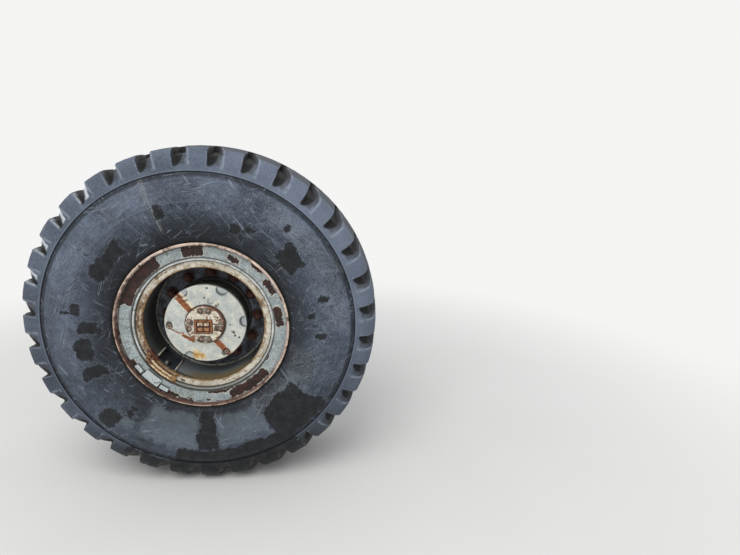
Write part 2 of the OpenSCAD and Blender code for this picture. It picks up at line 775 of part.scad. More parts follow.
// A ring segment about the axis, between two radii, two depths and spanning an angle
module segment(near, far, in_r, out_r, span) {
    rotate([0, 0, caliper_angle - span / 2]) rotate_extrude(angle = span)
        translate([in_r, out(far)]) square([out_r - in_r, far - near]);
}

// Plate on the brake flange whose two ears carry the caliper
module caliper_bracket() {
    color([0.30, 0.31, 0.30]) outboard() difference() {
        segment(bracket_near, bracket_near + bracket_t, body_r + fit, caliper_out_r - ear_drop,
            caliper_span + 2 * ear_angle);
        segment(bracket_near - 1, bracket_near + bracket_t + 1, caliper_in_r + bridge_gap,
            caliper_out_r + ear_drop, caliper_span - ear_angle);
    }
}

// Caliper: two cheeks joined by a bridge over the disc, with its cylinders on the inner side
module brake_caliper() {
    near = hub_end_depth - pad_gap - pad_t - cheek_t;
    color([0.38, 0.36, 0.33]) outboard() {
        difference() {
            segment(near, bracket_near, caliper_in_r, caliper_out_r, caliper_span);
            segment(near + cheek_t, disc_back + pad_gap + pad_t, caliper_in_r - 1,
                brake_r + bridge_gap, caliper_span + 1);
        }
        for (side = [-1, 1]) rotate([0, 0, caliper_angle + side * caliper_span / 5])
            translate([(caliper_in_r + caliper_out_r) / 2, 0, 0])
                bar(piston_r, bracket_near - 1, bracket_near + bracket_t + piston_l);
    }
}

// Friction pads on both sides of the disc, held between the cheeks
module brake_pads() {
    pad_span = caliper_span - ear_angle;
    near = hub_end_depth - pad_gap - pad_t;
    color([0.26, 0.25, 0.25]) outboard() for (place = [near, disc_back + pad_gap])
        segment(place, place + pad_t, caliper_in_r + pad_inset, brake_r - pad_inset, pad_span);
}

spline_depth = 3;
spline_relief = 14;
spline_l = shaft_out - spline_relief;
shaft_tip_l = 12;

module spline_outline() {
    step = 360 / spline_count;
    polygon([for (i = [0:spline_count - 1]) for (j = [[0, 0], [0.18, 1], [0.5, 1], [0.68, 0]])
        let (a = (i + j[0]) * step, r = shaft_r - 1 - (1 - j[1]) * spline_depth) r * [cos(a), sin(a)]]);
}

// Half shaft that drives the planet gears, with the splined end that enters the axle casing
module half_shaft() {
    color([0.50, 0.49, 0.47]) outboard() {
        translate([0, 0, -shaft_out + shaft_tip_l]) linear_extrude(spline_l - shaft_tip_l + 1)
            spline_outline();
        translate([0, 0, -shaft_out]) cylinder(r = shaft_r - 2 * spline_depth - 1, h = shaft_tip_l + 1);
        translate([0, 0, -spline_relief]) cylinder(r = shaft_r, h = out(spindle_tip) + spline_relief);
    }
}

tyre();
rim_base();
gutter_section();
mounting_disc();
bead_seat_band();
outer_flange_ring();
inner_flange_ring();
lock_ring();
lock_key();
driver_block();
valve_stem();
wheel_nuts();
hub();
planet_housing();
hub_cover();
cover_screws();
centre_cap();
cap_bolts();
cap_plate();
brake_disc();
spindle();
seal_ring();
caliper_bracket();
brake_caliper();
brake_pads();
half_shaft();
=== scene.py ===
import bmesh
import bpy
import numpy as np
from mathutils import Matrix


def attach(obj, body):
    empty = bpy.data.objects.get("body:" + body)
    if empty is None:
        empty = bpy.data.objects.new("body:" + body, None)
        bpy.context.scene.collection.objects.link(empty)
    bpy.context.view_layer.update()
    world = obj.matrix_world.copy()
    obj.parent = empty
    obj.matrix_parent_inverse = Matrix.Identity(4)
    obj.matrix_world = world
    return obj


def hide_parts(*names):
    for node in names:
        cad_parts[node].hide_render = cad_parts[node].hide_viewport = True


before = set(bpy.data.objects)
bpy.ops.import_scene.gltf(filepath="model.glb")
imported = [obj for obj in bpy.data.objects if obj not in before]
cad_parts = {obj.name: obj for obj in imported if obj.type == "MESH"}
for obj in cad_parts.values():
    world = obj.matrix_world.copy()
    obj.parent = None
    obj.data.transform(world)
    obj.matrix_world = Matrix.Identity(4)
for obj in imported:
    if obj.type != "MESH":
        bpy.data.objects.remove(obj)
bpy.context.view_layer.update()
scene = bpy.context.scene
scene.view_settings.view_transform = "Standard"


# Camera: a wide phone lens about two metres out from the wheel, level with the upper part of the tyre.
# It is turned a little to the right, tipped down and slightly rolled, as the wheel's circles show.
def place_by_axes(obj, right, up, back, place):
    """Puts an object into the scene at a place, with its own x, y and z axes along three directions."""
    matrix = np.eye(4)
    matrix[:3, :3] = np.column_stack([right, up, back])
    matrix[:3, 3] = place
    obj.matrix_world = Matrix(matrix.tolist())
    scene.collection.objects.link(obj)


camera_place = (0.541, -2.5947, 0.700)
sensor_w = 36.0
view_px, image_w = 467.9, 740
yaw, pitch, roll = np.radians([5.59, 12.72, 1.91])
ahead = np.array([np.sin(yaw) * np.cos(pitch), np.cos(yaw) * np.cos(pitch), -np.sin(pitch)])
level = np.array([np.cos(yaw), -np.sin(yaw), 0.0])
upright = np.cross(level, ahead)
camera_x = level * np.cos(roll) + upright * np.sin(roll)
camera_y = upright * np.cos(roll) - level * np.sin(roll)
camera = bpy.data.objects.new("camera", bpy.data.cameras.new("camera"))
camera.data.sensor_width = sensor_w
camera.data.lens = sensor_w * view_px / image_w
place_by_axes(camera, camera_x, camera_y, -ahead, camera_place)
scene.camera = camera


# Studio: a plain pale floor under the tyre, a pale surround that only the camera and reflections see,
# soft light from all round and one broad lamp from above the camera.
class Socket:
    """A shader socket for Python sums: each operator adds one Math node to its tree."""

    def __init__(self, tree, socket=None):
        self.tree, self.socket = tree, socket

    def node(self, kind, settings, inputs, out=0):
        """One node of any type: first its settings, then the values or links of its sockets."""
        made = self.tree.nodes.new(kind)
        for key, value in settings.items():
            setattr(made, key, value)
        for key, value in inputs.items():
            if isinstance(value, Socket):
                self.tree.links.new(value.socket, made.inputs[key])
            else:
                made.inputs[key].default_value = value
        return Socket(self.tree, made.outputs[out])

    def other(self, out):
        return Socket(self.tree, self.socket.node.outputs[out])

    def math(self, operation, *values):
        return self.node("ShaderNodeMath", {"operation": operation}, dict(enumerate((self, *values))))

    def __add__(self, value):
        return self.math("ADD", value)

    def __sub__(self, value):
        return self.math("SUBTRACT", value)

    def __mul__(self, value):
        return self.math("MULTIPLY", value)

    def __truediv__(self, value):
        return self.math("DIVIDE", value)

    def __rsub__(self, value):
        return self.node("ShaderNodeMath", {"operation": "SUBTRACT"}, {0: value, 1: self})

    __radd__ = __add__
    __rmul__ = __mul__

    def step(self, low, high):
        """0 below low and 1 above high, with a smooth rise between."""
        ends = {0: self, 1: low, 2: high}
        return self.node("ShaderNodeMapRange", {"interpolation_type": "SMOOTHSTEP"}, ends)

    def away(self, middle):
        """How far this lies from middle, up or down."""
        return (self - middle).math("ABSOLUTE")

    def near(self, middle, half, soft):
        """1 within half of middle, falling to 0 over soft."""
        return 1 - self.away(middle).step(half, half + soft)

    def mix(self, low, high):
        """The colour low where this is 0 and high where it is 1, each a colour socket or a screen colour."""
        low, high = (color if isinstance(color, Socket) else shade(*color) for color in (low, high))
        return self.node("ShaderNodeMix", {"data_type": "RGBA"}, {0: self, 6: low, 7: high}, out=2)


def shade(red, green, blue):
    """A screen colour, 0 to 255 a channel, made linear: a power of 2.4 above a short straight foot."""
    c = np.array([red, green, blue]) / 255
    return (*np.where(c < 0.04045, c / 12.92, ((c + 0.055) / 1.055) ** 2.4).tolist(), 1.0)


def new_material(name):
    """A material and its Object coordinates."""
    made = bpy.data.materials.new(name)
    made.use_nodes = True
    return made, Socket(made.node_tree).node("ShaderNodeTexCoord", {}, {}, out="Object")


def axes(place):
    """The x, y and z of coordinates, each as a value."""
    x = place.node("ShaderNodeSeparateXYZ", {}, {0: place}, out="X")
    return x, x.other("Y"), x.other("Z")


def noise(place, scale, detail=4.0, rough=0.55, warp=0.0):
    """Cloudy noise between 0 and 1, with scale spots to the metre."""
    inputs = {"Vector": place, "Scale": scale, "Detail": detail, "Roughness": rough, "Distortion": warp}
    return place.node("ShaderNodeTexNoise", {}, inputs)


def dress(made, color, rough, height=None, metal=0.0, strength=1.0):
    """Puts a colour, roughness, metal share and a height in metres on the material's surface shader."""
    tree = made.node_tree
    surface = tree.nodes["Principled BSDF"]
    inputs = {"Base Color": color, "Roughness": rough, "Metallic": metal}
    if height is not None:
        inputs["Normal"] = height.node("ShaderNodeBump", {}, {"Strength": strength, "Distance": 1.0,
                                                              "Height": height})
    for key, value in inputs.items():
        if isinstance(value, Socket):
            tree.links.new(value.socket, surface.inputs[key])
        else:
            surface.inputs[key].default_value = value


def put_mesh(name, points, faces, material):
    """An object made from an array of points and an array of corner numbers, in the scene's collection."""
    mesh = bpy.data.meshes.new(name)
    mesh.from_pydata(points.reshape(-1, 3).tolist(), [], faces.tolist())
    mesh.materials.append(material)
    obj = bpy.data.objects.new(name, mesh)
    scene.collection.objects.link(obj)
    return obj


def seen_rays(start):
    """1 for rays that come straight from the camera, or from it by a mirror or through glass, else 0."""
    ray = start.node("ShaderNodeLightPath", {}, {}, out="Is Camera Ray")
    return ray.math("MAXIMUM", ray.other("Is Glossy Ray")).math("MAXIMUM", ray.other("Is Transmission Ray"))


floor_r, floor_z, floor_corners = 14.0, -0.7955, 96
pale = (0.91, 0.91, 0.90, 1.0)
floor_finish, place = new_material("pale_floor")
reach = place.node("ShaderNodeVectorMath", {"operation": "LENGTH"}, {0: place}, out="Value")
tone = noise(place, 1.5).mix((230, 229, 225), (236, 235, 232))
dress(floor_finish, tone, 0.75)
floor_tree = floor_finish.node_tree
far_away = place.node("ShaderNodeEmission", {}, {"Color": pale, "Strength": 1.0}, out=0)
blended = place.node("ShaderNodeMixShader", {}, {
    0: reach.step(1.2, 4.4) * seen_rays(place),
    1: Socket(floor_tree, floor_tree.nodes["Principled BSDF"].outputs[0]), 2: far_away})
floor_tree.links.new(blended.socket, floor_tree.nodes["Material Output"].inputs["Surface"])

turn = np.linspace(0, 2 * np.pi, floor_corners + 1)[:-1]
rim_points = np.stack([floor_r * np.cos(turn), floor_r * np.sin(turn), np.full(floor_corners, floor_z)], 1)
floor = put_mesh("floor", rim_points, np.arange(floor_corners)[None], floor_finish)

world = bpy.data.worlds.new("studio")
scene.world = world
world.use_nodes = True
world.node_tree.nodes.clear()
sky = Socket(world.node_tree)
way = sky.node("ShaderNodeTexCoord", {}, {}, out="Generated")
brightness = 0.34 + 0.36 * axes(way)[2].step(-0.3, 0.9)
soft_light = sky.node("ShaderNodeBackground", {}, {"Color": (0.95, 0.98, 1.0, 1.0), "Strength": brightness})
surround = sky.node("ShaderNodeBackground", {}, {"Color": pale, "Strength": 1.0})
both = sky.node("ShaderNodeMixShader", {}, {0: seen_rays(sky), 1: soft_light, 2: surround})
world_out = world.node_tree.nodes.new("ShaderNodeOutputWorld")
world.node_tree.links.new(both.socket, world_out.inputs["Surface"])

lamp = bpy.data.objects.new("lamp", bpy.data.lights.new("lamp", "AREA"))
lamp.data.shape = "SQUARE"
lamp.data.size = 3.6
lamp.data.energy = 150.0
lamp_place, lamp_aim = np.array([-0.8, -3.4, 4.0]), np.array([0.0, -0.4, 0.0])
lamp_ahead = (lamp_aim - lamp_place) / np.linalg.norm(lamp_aim - lamp_place)
sideways = np.cross(lamp_ahead, [0.0, 0.0, 1.0])
lamp_x = sideways / np.linalg.norm(sideways)
place_by_axes(lamp, lamp_x, np.cross(lamp_x, lamp_ahead), -lamp_ahead, lamp_place)

# Tyre: a 25 inch earthmover radial moulded in one piece of black rubber, worn and grey with dried mud.
# Its beads sit on the rim's tapered seats, a moulded line runs round the sidewall, and lugs with rounded
# shoulders lead from the buttress to a rib in the middle, with a ramp across the mouth of each groove.
wheel_y, lip_y = -0.280, -0.55965
tyre_r, half_w, bulge_r, line_r = 0.795, 0.298, 0.560, 0.678
flange_r, curl_r, flange_place = 0.381, 0.0203, 0.24735
tread_half, crown_drop, groove_depth = 0.235, 0.020, 0.030
wall_t = 0.032
lug_count, lug_skew = 32, np.radians(3.0)
pitch_angle = 2 * np.pi / lug_count
half_columns = 11
columns = 2 * half_columns
wear, chip_share, chip_depth, jitter = 0.05, 0.035, 0.35, 0.0016


def crown(t):
    """Radius of the lug tops: the tyre's, less the crown drop times the square of t over the half tread."""
    return tyre_r - crown_drop * (t / tread_half) ** 2


def sidewall(r):
    """Distance of the sidewall from the middle plane: half the width, less a square fall off the bulge."""
    low = 0.024 * ((bulge_r - r) / (bulge_r - flange_r)) ** 2
    high = 0.023 * ((r - bulge_r) / (line_r - bulge_r)) ** 2
    return half_w - np.where(r < bulge_r, low, high)


def casing_rows():
    """Rows of one half from the bead to the middle rib, as [groove radius, its t, lug top radius, its t].

    The shoulder rows are read off two polygons, the groove floor's and the lug top's, which share their
    corner numbers; each is rounded by averaging it over a short stretch of corner numbers."""
    curl = np.linspace(-np.pi / 2, 0, 7)
    r_wall = np.linspace(0.386, 0.658, 16)
    plain = np.concatenate([
        [[0.3122, 0.1857], [0.3150, 0.2180], [0.3175, flange_place - 0.004], [0.3205, flange_place]],
        np.stack([flange_r - 0.020 + curl_r * np.cos(curl), 0.26765 + curl_r * np.sin(curl)], 1),
        np.stack([r_wall, sidewall(r_wall)], 1),
        [[0.664, 0.2777], [0.670, 0.2741], [0.675, 0.2712], [0.6785, 0.2697], [0.6800, 0.2702],
         [0.6808, 0.2728]]])
    low = np.array([[0.681, 0.2738], [0.692, 0.2690], [0.700, 0.2640], [0.710, 0.2580], [0.7215, 0.2500],
                    [0.734, 0.2390], [0.7425, 0.2270], [0.7470, 0.2080]])
    high = np.array([[0.681, 0.2738], [0.692, 0.2705], [0.700, 0.2680], [0.713, 0.2668], [0.736, 0.2610],
                     [0.7585, 0.2500], [0.7745, 0.2310], [0.7793, 0.2080]])
    fine = np.linspace(0, 7, 701)
    blur = 20
    kernel = np.ones(2 * blur + 1) / (2 * blur + 1)
    rounded = []
    for points in (low[:, 0], low[:, 1], high[:, 0], high[:, 1]):
        line = np.interp(fine, np.arange(len(points)), points)
        rounded.append(np.convolve(np.pad(line, blur, "edge"), kernel, "valid"))
    at = np.array([0.5, 1.0, 1.5, 2.0, 2.4, 2.8, 3.2, 3.6, 4.0, 4.4, 4.8, 5.2, 5.6, 6.0, 6.5, 7.0])
    shoulder = np.stack([np.interp(at, fine, curve) for curve in rounded], 1)
    t = np.array([0.190, 0.165, 0.135, 0.105, 0.080, 0.060, 0.045, 0.034, 0.028])
    tread = np.stack([crown(t) - groove_depth, t, crown(t), t], 1)
    edge = np.array([0.0250, 0.0230, 0.0195, 0.0])
    rib = np.stack([crown(edge) - np.array([0.023, 0.008, 0.0008, 0.0]), edge, crown(edge), edge], 1)
    return np.concatenate([np.hstack([plain, plain]), shoulder, tread, rib])


def even_columns():
    """Angles of one pitch's columns where they are spread evenly, from the lug's middle column."""
    return (np.arange(columns) - half_columns // 2) * pitch_angle / columns


def pitch_layout(rows):
    """Angle from the lug's middle, height and channel share, 0 to 1, of one pitch's columns in each row.

    Half of the columns cross the lug and half the groove beyond it, as distances along the arc over the lug
    top's radius. The lug has a sharp side whose foot leans into the groove and a rounded side, from which a
    ramp falls across the groove; towards the middle of the tread the ramp sinks into the groove's floor. The
    channel share is 1 beside the sharp side, over a width that grows with the radius, and falls to 0 up the
    ramp."""
    r, t = rows[:, 2], rows[:, 3]
    half = np.interp(t, [0.014, 0.1175, 0.223, 0.247, 0.261, 0.267],
                     [0.062, 0.0555, 0.043, 0.041, 0.040, 0.038])
    lean = np.interp(t, [0.190, 0.235, 0.262], [0.007, 0.010, 0.014])
    bend = np.interp(t, [0.190, 0.230, 0.262], [0.004, 0.010, 0.018])
    rise = np.interp(t, [0.180, 0.205, 0.225, 0.245, 0.260, 0.268],
                     [0.0, 0.08, 0.30, 0.62, 0.80, 0.90])[:, None]
    none = np.zeros_like(half)
    sharp = [-half - lean, -half - 0.6 * lean, -half - 0.0006, -half + 0.0022, -half + 0.0075]
    blunt = [half - bend, half - 0.5 * bend, half, half + 0.0035, half + 0.0075]
    lug = np.stack([*sharp, none, *blunt], 1)
    start, end = half + 0.0075, pitch_angle * r - half - lean
    across = np.arange(1, half_columns + 1) / (half_columns + 1)
    groove = start[:, None] + (end - start)[:, None] * across
    angle = np.hstack([lug, groove]) / r[:, None]
    share = np.clip((r - 0.655) / 0.035, 0, 1)[:, None]
    share = share * share * (3 - 2 * share)
    ramp = np.clip(1 - np.arange(-3, 12) / 10.5, 0, 1) ** 0.85
    profile = np.array([0, 0.10, 0.93, 0.99, 1, 1, 1, 0.985, 0.90, 0.30, 0])
    height = np.hstack([np.tile(profile, (len(r), 1)), np.zeros((len(r), half_columns))])
    height[:, 7:] = np.maximum(height[:, 7:], rise * ramp)
    lead = lug_skew * (1 - np.minimum(t, 0.262) / tread_half)
    # channel: the share of near-black painted shade that the rubber gets beside each lug's sharp side.
    mouth = np.interp(r, [0.700, 0.710, 0.728, 0.765], [1.02, 0.66, 0.34, 0.10])[:, None]
    channel = np.hstack([np.zeros((len(r), half_columns)), np.clip((across - mouth) / 0.16, 0, 1)])
    channel[:, :2] = np.clip((1 - mouth) / 0.16, 0, 1)
    return angle * share + even_columns() * (1 - share) + lead[:, None], height, channel


def tyre_surface():
    """Points of the whole tyre by row and column, each one's height and its channel share.

    A point lies between the groove floor's row and the lug top's row by its height, 0 to 1, less a little
    random wear. The outboard half is the pattern itself, the inboard half is mirrored and half a pitch
    further round, and the rib between joins them. Rows and columns both close on themselves."""
    rng = np.random.default_rng(11)
    rows = casing_rows()
    angle, height, channel = pitch_layout(rows)
    before = np.where(np.arange(columns) < half_columns, pitch_angle, 0)
    turned = np.roll(angle, half_columns, 1) + pitch_angle / 2 - before
    turned_height, turned_channel = np.roll(height, half_columns, 1), np.roll(channel, half_columns, 1)
    share = np.interp(rows[:, 3], [0.0, 0.0195], [0.5, 0.0])[:, None]
    outer = angle * (1 - share) + turned * share
    inner = turned * (1 - share) + angle * share
    lip = np.array([0.401, 0.45, 0.50, 0.55, 0.60, 0.646])
    lining = np.stack([lip, sidewall(lip) - wall_t], 1)
    lining = np.concatenate([[[0.3455, 0.1917]], lining, [[0.689, 0.185], [0.7025, 0.08]]])
    inside = np.concatenate([lining * [1, -1], lining[::-1]])
    low_r = np.concatenate([rows[:, 0], rows[-2::-1, 0], inside[:, 0]])
    top_r = np.concatenate([rows[:, 2], rows[-2::-1, 2], inside[:, 0]])
    low_t = np.concatenate([rows[:, 1], -rows[-2::-1, 1], inside[:, 1]])
    top_t = np.concatenate([rows[:, 3], -rows[-2::-1, 3], inside[:, 1]])
    at = np.concatenate([outer, inner[-2::-1], np.tile(even_columns(), (len(inside), 1))])
    up = np.concatenate([height, turned_height[-2::-1], np.zeros((len(inside), columns))])
    dark = np.concatenate([channel, turned_channel[-2::-1], np.zeros((len(inside), columns))])
    at = (at[:, None, :] + (np.arange(lug_count) * pitch_angle)[None, :, None]).reshape(len(at), -1)
    up = np.tile(up, (1, lug_count))
    worn = 1 - wear * rng.random(up.shape) * (up > 0.5)
    edges = (up > 0.85) & (up < 0.99)
    chips = 1 - chip_depth * (rng.random(up.shape) < chip_share) * edges * rng.random(up.shape)
    lift = up * worn * chips
    at = at + (rng.random(at.shape) - 0.5) * jitter * (up > 0.04)
    r = low_r[:, None] + lift * (top_r - low_r)[:, None]
    t = low_t[:, None] + lift * (top_t - low_t)[:, None]
    return np.stack([r * np.cos(at), wheel_y - t, r * np.sin(at)], -1), up, np.tile(dark, (1, lug_count))


def ring_faces(rows, cols):
    """Corner numbers of the four-sided faces of a grid that closes on itself both ways."""
    number = np.arange(rows * cols).reshape(rows, cols)
    right = np.roll(number, -1, 1)
    return np.stack([number, np.roll(number, -1, 0), np.roll(right, -1, 0), right], -1).reshape(-1, 4)


def polar(place):
    """Radius from the wheel's axle, direction in degrees up from the front, depth behind the rim's lip."""
    x, y, z = axes(place)
    r = (x * x + z * z).math("SQRT")
    return r, z.math("ARCTAN2", x) * (180 / np.pi), y - lip_y


def degrees_off(angle, direction):
    """Degrees between the angle and a direction, the short way round."""
    return (angle - direction).math("WRAP", 180.0, -180.0).math("ABSOLUTE")


def largest(masks):
    """The largest of the masks at each point."""
    most, *others = masks
    for mask in others:
        most = most.math("MAXIMUM", mask)
    return most


def patches(r, angle, wander, spots):
    """Largest over the spots of how far inside one a point lies, in metres, plus wander.

    A spot is (direction, half its angle, radius, half its width); inside it the distance to its nearest side
    counts, rounded where two sides meet."""
    insides = []
    for direction, spread, radius, width in spots:
        metres = radius * np.pi / 180
        along = spread * metres - degrees_off(angle, direction) * metres
        insides.append(along.math("SMOOTH_MIN", width - r.away(radius), 0.02))
    return largest(insides) + wander


def stretched(place, r, along, down):
    """Coordinates that follow the wheel round: the direction times along, and the radius times down."""
    unit = place.node("ShaderNodeVectorMath", {"operation": "MULTIPLY"}, {0: place, 1: (1.0, 0.0, 1.0)})
    unit = unit.node("ShaderNodeVectorMath", {"operation": "NORMALIZE"}, {0: unit})
    unit = unit.node("ShaderNodeVectorMath", {"operation": "SCALE"}, {0: unit, 3: along})
    rise = unit.node("ShaderNodeCombineXYZ", {}, {1: r * down})
    return unit.node("ShaderNodeVectorMath", {"operation": "ADD"}, {0: unit, 1: rise})


def scratches(place, turn, along, across, half):
    """Thin broken lines in one direction: where stretched noise crosses its middle value, half the time."""
    turned = place.node("ShaderNodeVectorRotate", {"rotation_type": "Y_AXIS"},
                        {"Vector": place, "Angle": np.radians(turn)})
    long = place.node("ShaderNodeVectorMath", {"operation": "MULTIPLY"}, {0: turned, 1: (along, 1.0, across)})
    shown = noise(turned, 9.0, 3.0).step(0.50, 0.60)
    return noise(long, 1.0, 2.0, 0.5, 0.3).near(0.5, half, half) * shown


def layered(tone, layers):
    """The tone with each layer's colour laid over it in turn, as far as the layer's mask goes."""
    for mask, color in layers:
        tone = mask.mix(tone, color)
    return tone


rubber, place = new_material("worn_rubber")
r, angle, depth = polar(place)
lug = place.node("ShaderNodeAttribute", {"attribute_name": "lug"}, {}, out="Fac")
channel = place.node("ShaderNodeAttribute", {"attribute_name": "channel"}, {}, out="Fac")
cloud = noise(place, 5.0, 5.0, 0.6)
mottle = noise(place, 34.0, 6.0, 0.7)
grain = noise(place, 150.0, 5.0, 0.85)
sweep = noise(stretched(place, r, 5.0, 60.0), 1.0, 5.0, 0.7)
streak = noise(stretched(place, r, 90.0, 3.0), 1.0, 4.0, 0.7)
lines = (scratches(place, 12, 2.0, 34.0, 0.0045) + scratches(place, 71, 2.5, 40.0, 0.0045)
         + scratches(place, 128, 2.0, 30.0, 0.0055) + scratches(place, -35, 3.0, 46.0, 0.0045)
         + scratches(place, 40, 2.2, 44.0, 0.0040)).math("MINIMUM", 1.0)
wander = ((noise(place, 16.0, 5.0, 0.65) - 0.5) * 0.085 + (noise(place, 60.0, 4.0, 0.7) - 0.5) * 0.035)
wet = patches(r, angle, wander, [
    (142, 11, 0.480, 0.030), (144, 1.3, 0.565, 0.022), (162.5, 1.0, 0.538, 0.018), (170, 2.0, 0.529, 0.018),
    (172.5, 0.8, 0.545, 0.034), (179, 3.2, 0.480, 0.044), (-168.5, 6, 0.515, 0.032), (-157, 3, 0.510, 0.046),
    (-135, 4.4, 0.600, 0.044), (-130, 2.0, 0.510, 0.022), (-89.5, 4.6, 0.500, 0.100), (-84, 19, 0.662, 0.062),
    (-74, 7, 0.615, 0.020), (-46, 12.5, 0.560, 0.100), (-62, 9, 0.655, 0.050), (14.5, 1.0, 0.553, 0.034),
    (39, 6.5, 0.503, 0.044), (50, 1.0, 0.589, 0.020), (64, 2.4, 0.486, 0.022), (70, 1.7, 0.472, 0.016),
    (7, 1.0, 0.483, 0.010), (1, 1.0, 0.484, 0.012), (-4, 1.0, 0.525, 0.024), (106, 2.0, 0.530, 0.024),
    (-88, 34, 0.735, 0.050)])
mud = patches(r, angle, wander, [
    (-72, 12, 0.500, 0.065), (-108, 13, 0.510, 0.080), (-128.5, 3, 0.577, 0.020), (-35, 6, 0.464, 0.018)])
dust = patches(r, angle, wander, [
    (59, 4.5, 0.613, 0.030), (27, 4, 0.655, 0.018), (-15.5, 4.6, 0.480, 0.030), (30, 30, 0.600, 0.050),
    (-36, 24, 0.480, 0.070)])
streaky = patches(r, angle, wander * 0.4, [(109, 2.0, 0.560, 0.125), (39, 2.0, 0.470, 0.060)])
wet_mask = (wet + (grain - 0.5) * 0.016).step(-0.004, 0.004)
worn_out = r.step(0.395, 0.590)
# low_side: the tyre is darker towards the bottom, as painted shade from the ground.
low_side = angle.away(-100).step(105, 40)
mixed = (cloud * 0.34 + mottle * 0.22 + grain * 0.44).step(0.38, 0.63)
upper = angle.away(112).step(75, 35)
leftward = degrees_off(angle, 150).step(75, 35)
tone = mixed.mix(worn_out.mix((20, 22, 26), (40, 45, 54)),
                 worn_out.mix((54, 59, 68), (106, 116, 134)))
arcs = (r.near(0.602, 0.0010, 0.0020) + r.near(0.556, 0.0012, 0.0022)) * leftward * grain.step(0.35, 0.60)
side_tone = (cloud * 0.35 + grain * 0.65).step(0.34, 0.68).mix((58, 65, 77), (108, 118, 135))
beneath = angle.away(-88).step(62, 24)
frontward = angle.away(36).step(56, 28)
side_tone = layered(side_tone, [
    (low_side * 0.16 + beneath * 0.48, (36, 38, 41)),
    (frontward * 0.34, (136, 147, 166)),
    # painted highlight on the buttress's edge above the moulded step
    (r.near(0.6835, 0.0020, 0.0030) * 0.30, (132, 141, 157))])
# tread: the crown behind the outboard shoulder is darkened as painted shade, mottled like mud.
tread = depth.near(0.2797, 0.170, 0.055) * r.step(0.700, 0.720)
# groove: the groove floors, darkened as painted shade
groove = r.step(0.7010, 0.7120) * (1 - lug.step(0.0, 0.30))
ramp = lug.near(0.45, 0.30, 0.10) * r.step(0.704, 0.714)
# ramp_glint_side: round the upper left the ramps get a painted reflection of the sky, near white; elsewhere
# they are darker.
ramp_glint_side = angle.away(146).step(28, 20)
tone = layered(tone, [
    (upper * (1 - worn_out) * 0.62, (20, 22, 26)),
    (leftward * r.step(0.552, 0.560) * 0.12, (128, 137, 152)),
    (arcs * 0.40, (128, 137, 152)),
    (sweep.step(0.50, 0.70) * worn_out * 0.30, (112, 121, 136)),
    # painted shade from the ground, round the bottom
    (low_side * 0.36, (36, 38, 42)),
    # painted shadow: a soft dark band below the moulded step
    (r.near(0.6715, 0.0060, 0.014) * 0.80, (22, 25, 31)),
    (streak.step(0.55, 0.72) * mottle.step(0.45, 0.6) * worn_out * 0.22, (126, 133, 146)),
    (dust.step(-0.02, 0.02) * grain.step(0.40, 0.6) * 0.35, (134, 139, 144)),
    (mud.step(-0.020, 0.014) * (0.25 + mottle * 0.5), (108, 118, 126)),
    (lines * 0.45, (140, 149, 164)),
    (streaky.step(-0.004, 0.016) * streak.step(0.46, 0.60) * grain.step(0.35, 0.55) * 0.7, (146, 148, 146)),
    (wet.near(-0.0060, 0.0020, 0.0060) * grain.step(0.42, 0.60) * 0.22, (126, 134, 146)),
    (r.step(0.6795, 0.6815) * 0.90, side_tone),
    # painted shade over the tread's crown, mottled like mud
    (tread * 0.72, mottle.mix((22, 23, 25), (72, 72, 74))),
    (lug.near(0.940, 0.035, 0.020) * r.step(0.692, 0.704) * mottle.step(0.36, 0.52) * 0.50,
     (150, 157, 168)),
    (beneath * r.step(0.700, 0.715) * 0.60, mottle.mix((14, 14, 14), (48, 45, 42))),
    (wet_mask * 0.96, (mottle * 0.5 + grain * 0.5).step(0.4, 0.66).mix((10, 11, 13), (40, 44, 48))),
    # painted shadow in the moulded step itself
    (r.near(0.6785, 0.0012, 0.0024) * 0.70, (16, 18, 22)),
    # painted shade in the grooves
    (groove * 0.82, mottle.mix((14, 14, 15), (50, 49, 48))),
    (ramp * (1 - ramp_glint_side) * 0.60, mottle.mix((30, 29, 29), (78, 75, 72))),
    # painted reflection of the sky on the ramps
    (ramp * ramp_glint_side * depth.step(0.090, 0.060) * 0.90, (204, 209, 216)),
    # painted shade: near black in the channel beside each lug's sharp side
    (channel * 0.96, (6, 6, 7)),
    # painted shadow in the gap along the rim's lip
    ((r + (grain - 0.5) * 0.006).step(0.4010, 0.3890) * 0.88, (8, 8, 10))])
wet_rough = noise(place, 45.0).step(0.3, 0.7) * 0.25 + 0.30
rough = wet_mask * wet_rough + (1 - wet_mask) * (0.58 + 0.2 * mottle)
rings = (r.near(0.602, 0.0010, 0.0016) + r.near(0.556, 0.0008, 0.0016) + r.near(0.470, 0.0010, 0.0016)
         + r.near(0.646, 0.0016, 0.0016) * 0.8 + r.near(0.408, 0.0020, 0.0020)) * 0.0010
relief = rings + mottle * 0.0016 + grain * 0.0006 + sweep * 0.0006 + lines * 0.0003 - wet_mask * 0.0004
dress(rubber, tone, rough, relief)
rubber.node_tree.nodes["Principled BSDF"].inputs["Specular IOR Level"].default_value = 0.28

points, lug_height, channel = tyre_surface()
tyre = put_mesh("tyre_casing", points, ring_faces(*points.shape[:2]), rubber)
for name, values in (("lug", lug_height), ("channel", channel)):
    stored = tyre.data.attributes.new(name, "FLOAT", "POINT")
    stored.data.foreach_set("value", values.ravel().astype(np.float32))
tyre.data.shade_smooth()
tyre.data.set_sharp_from_angle(angle=np.radians(34))
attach(tyre, "wheel")
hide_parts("tyre")


# Flange rings: rolled steel, loose on the bead seats, painted pale blue-grey long ago. The paint has come off
# in flakes down to dark red rust, and the rubbed lip is bare coppery brown.
def dress_node(name, material):
    """Gives every slot of a CAD node the material."""
    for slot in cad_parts[name].material_slots:
        slot.material = material


def rust_tone(place):
    """Dark rust, blotched with red-brown."""
    return noise(place, 60.0, 6.0, 0.7).step(0.35, 0.7).mix((18, 12, 12), (68, 36, 28))


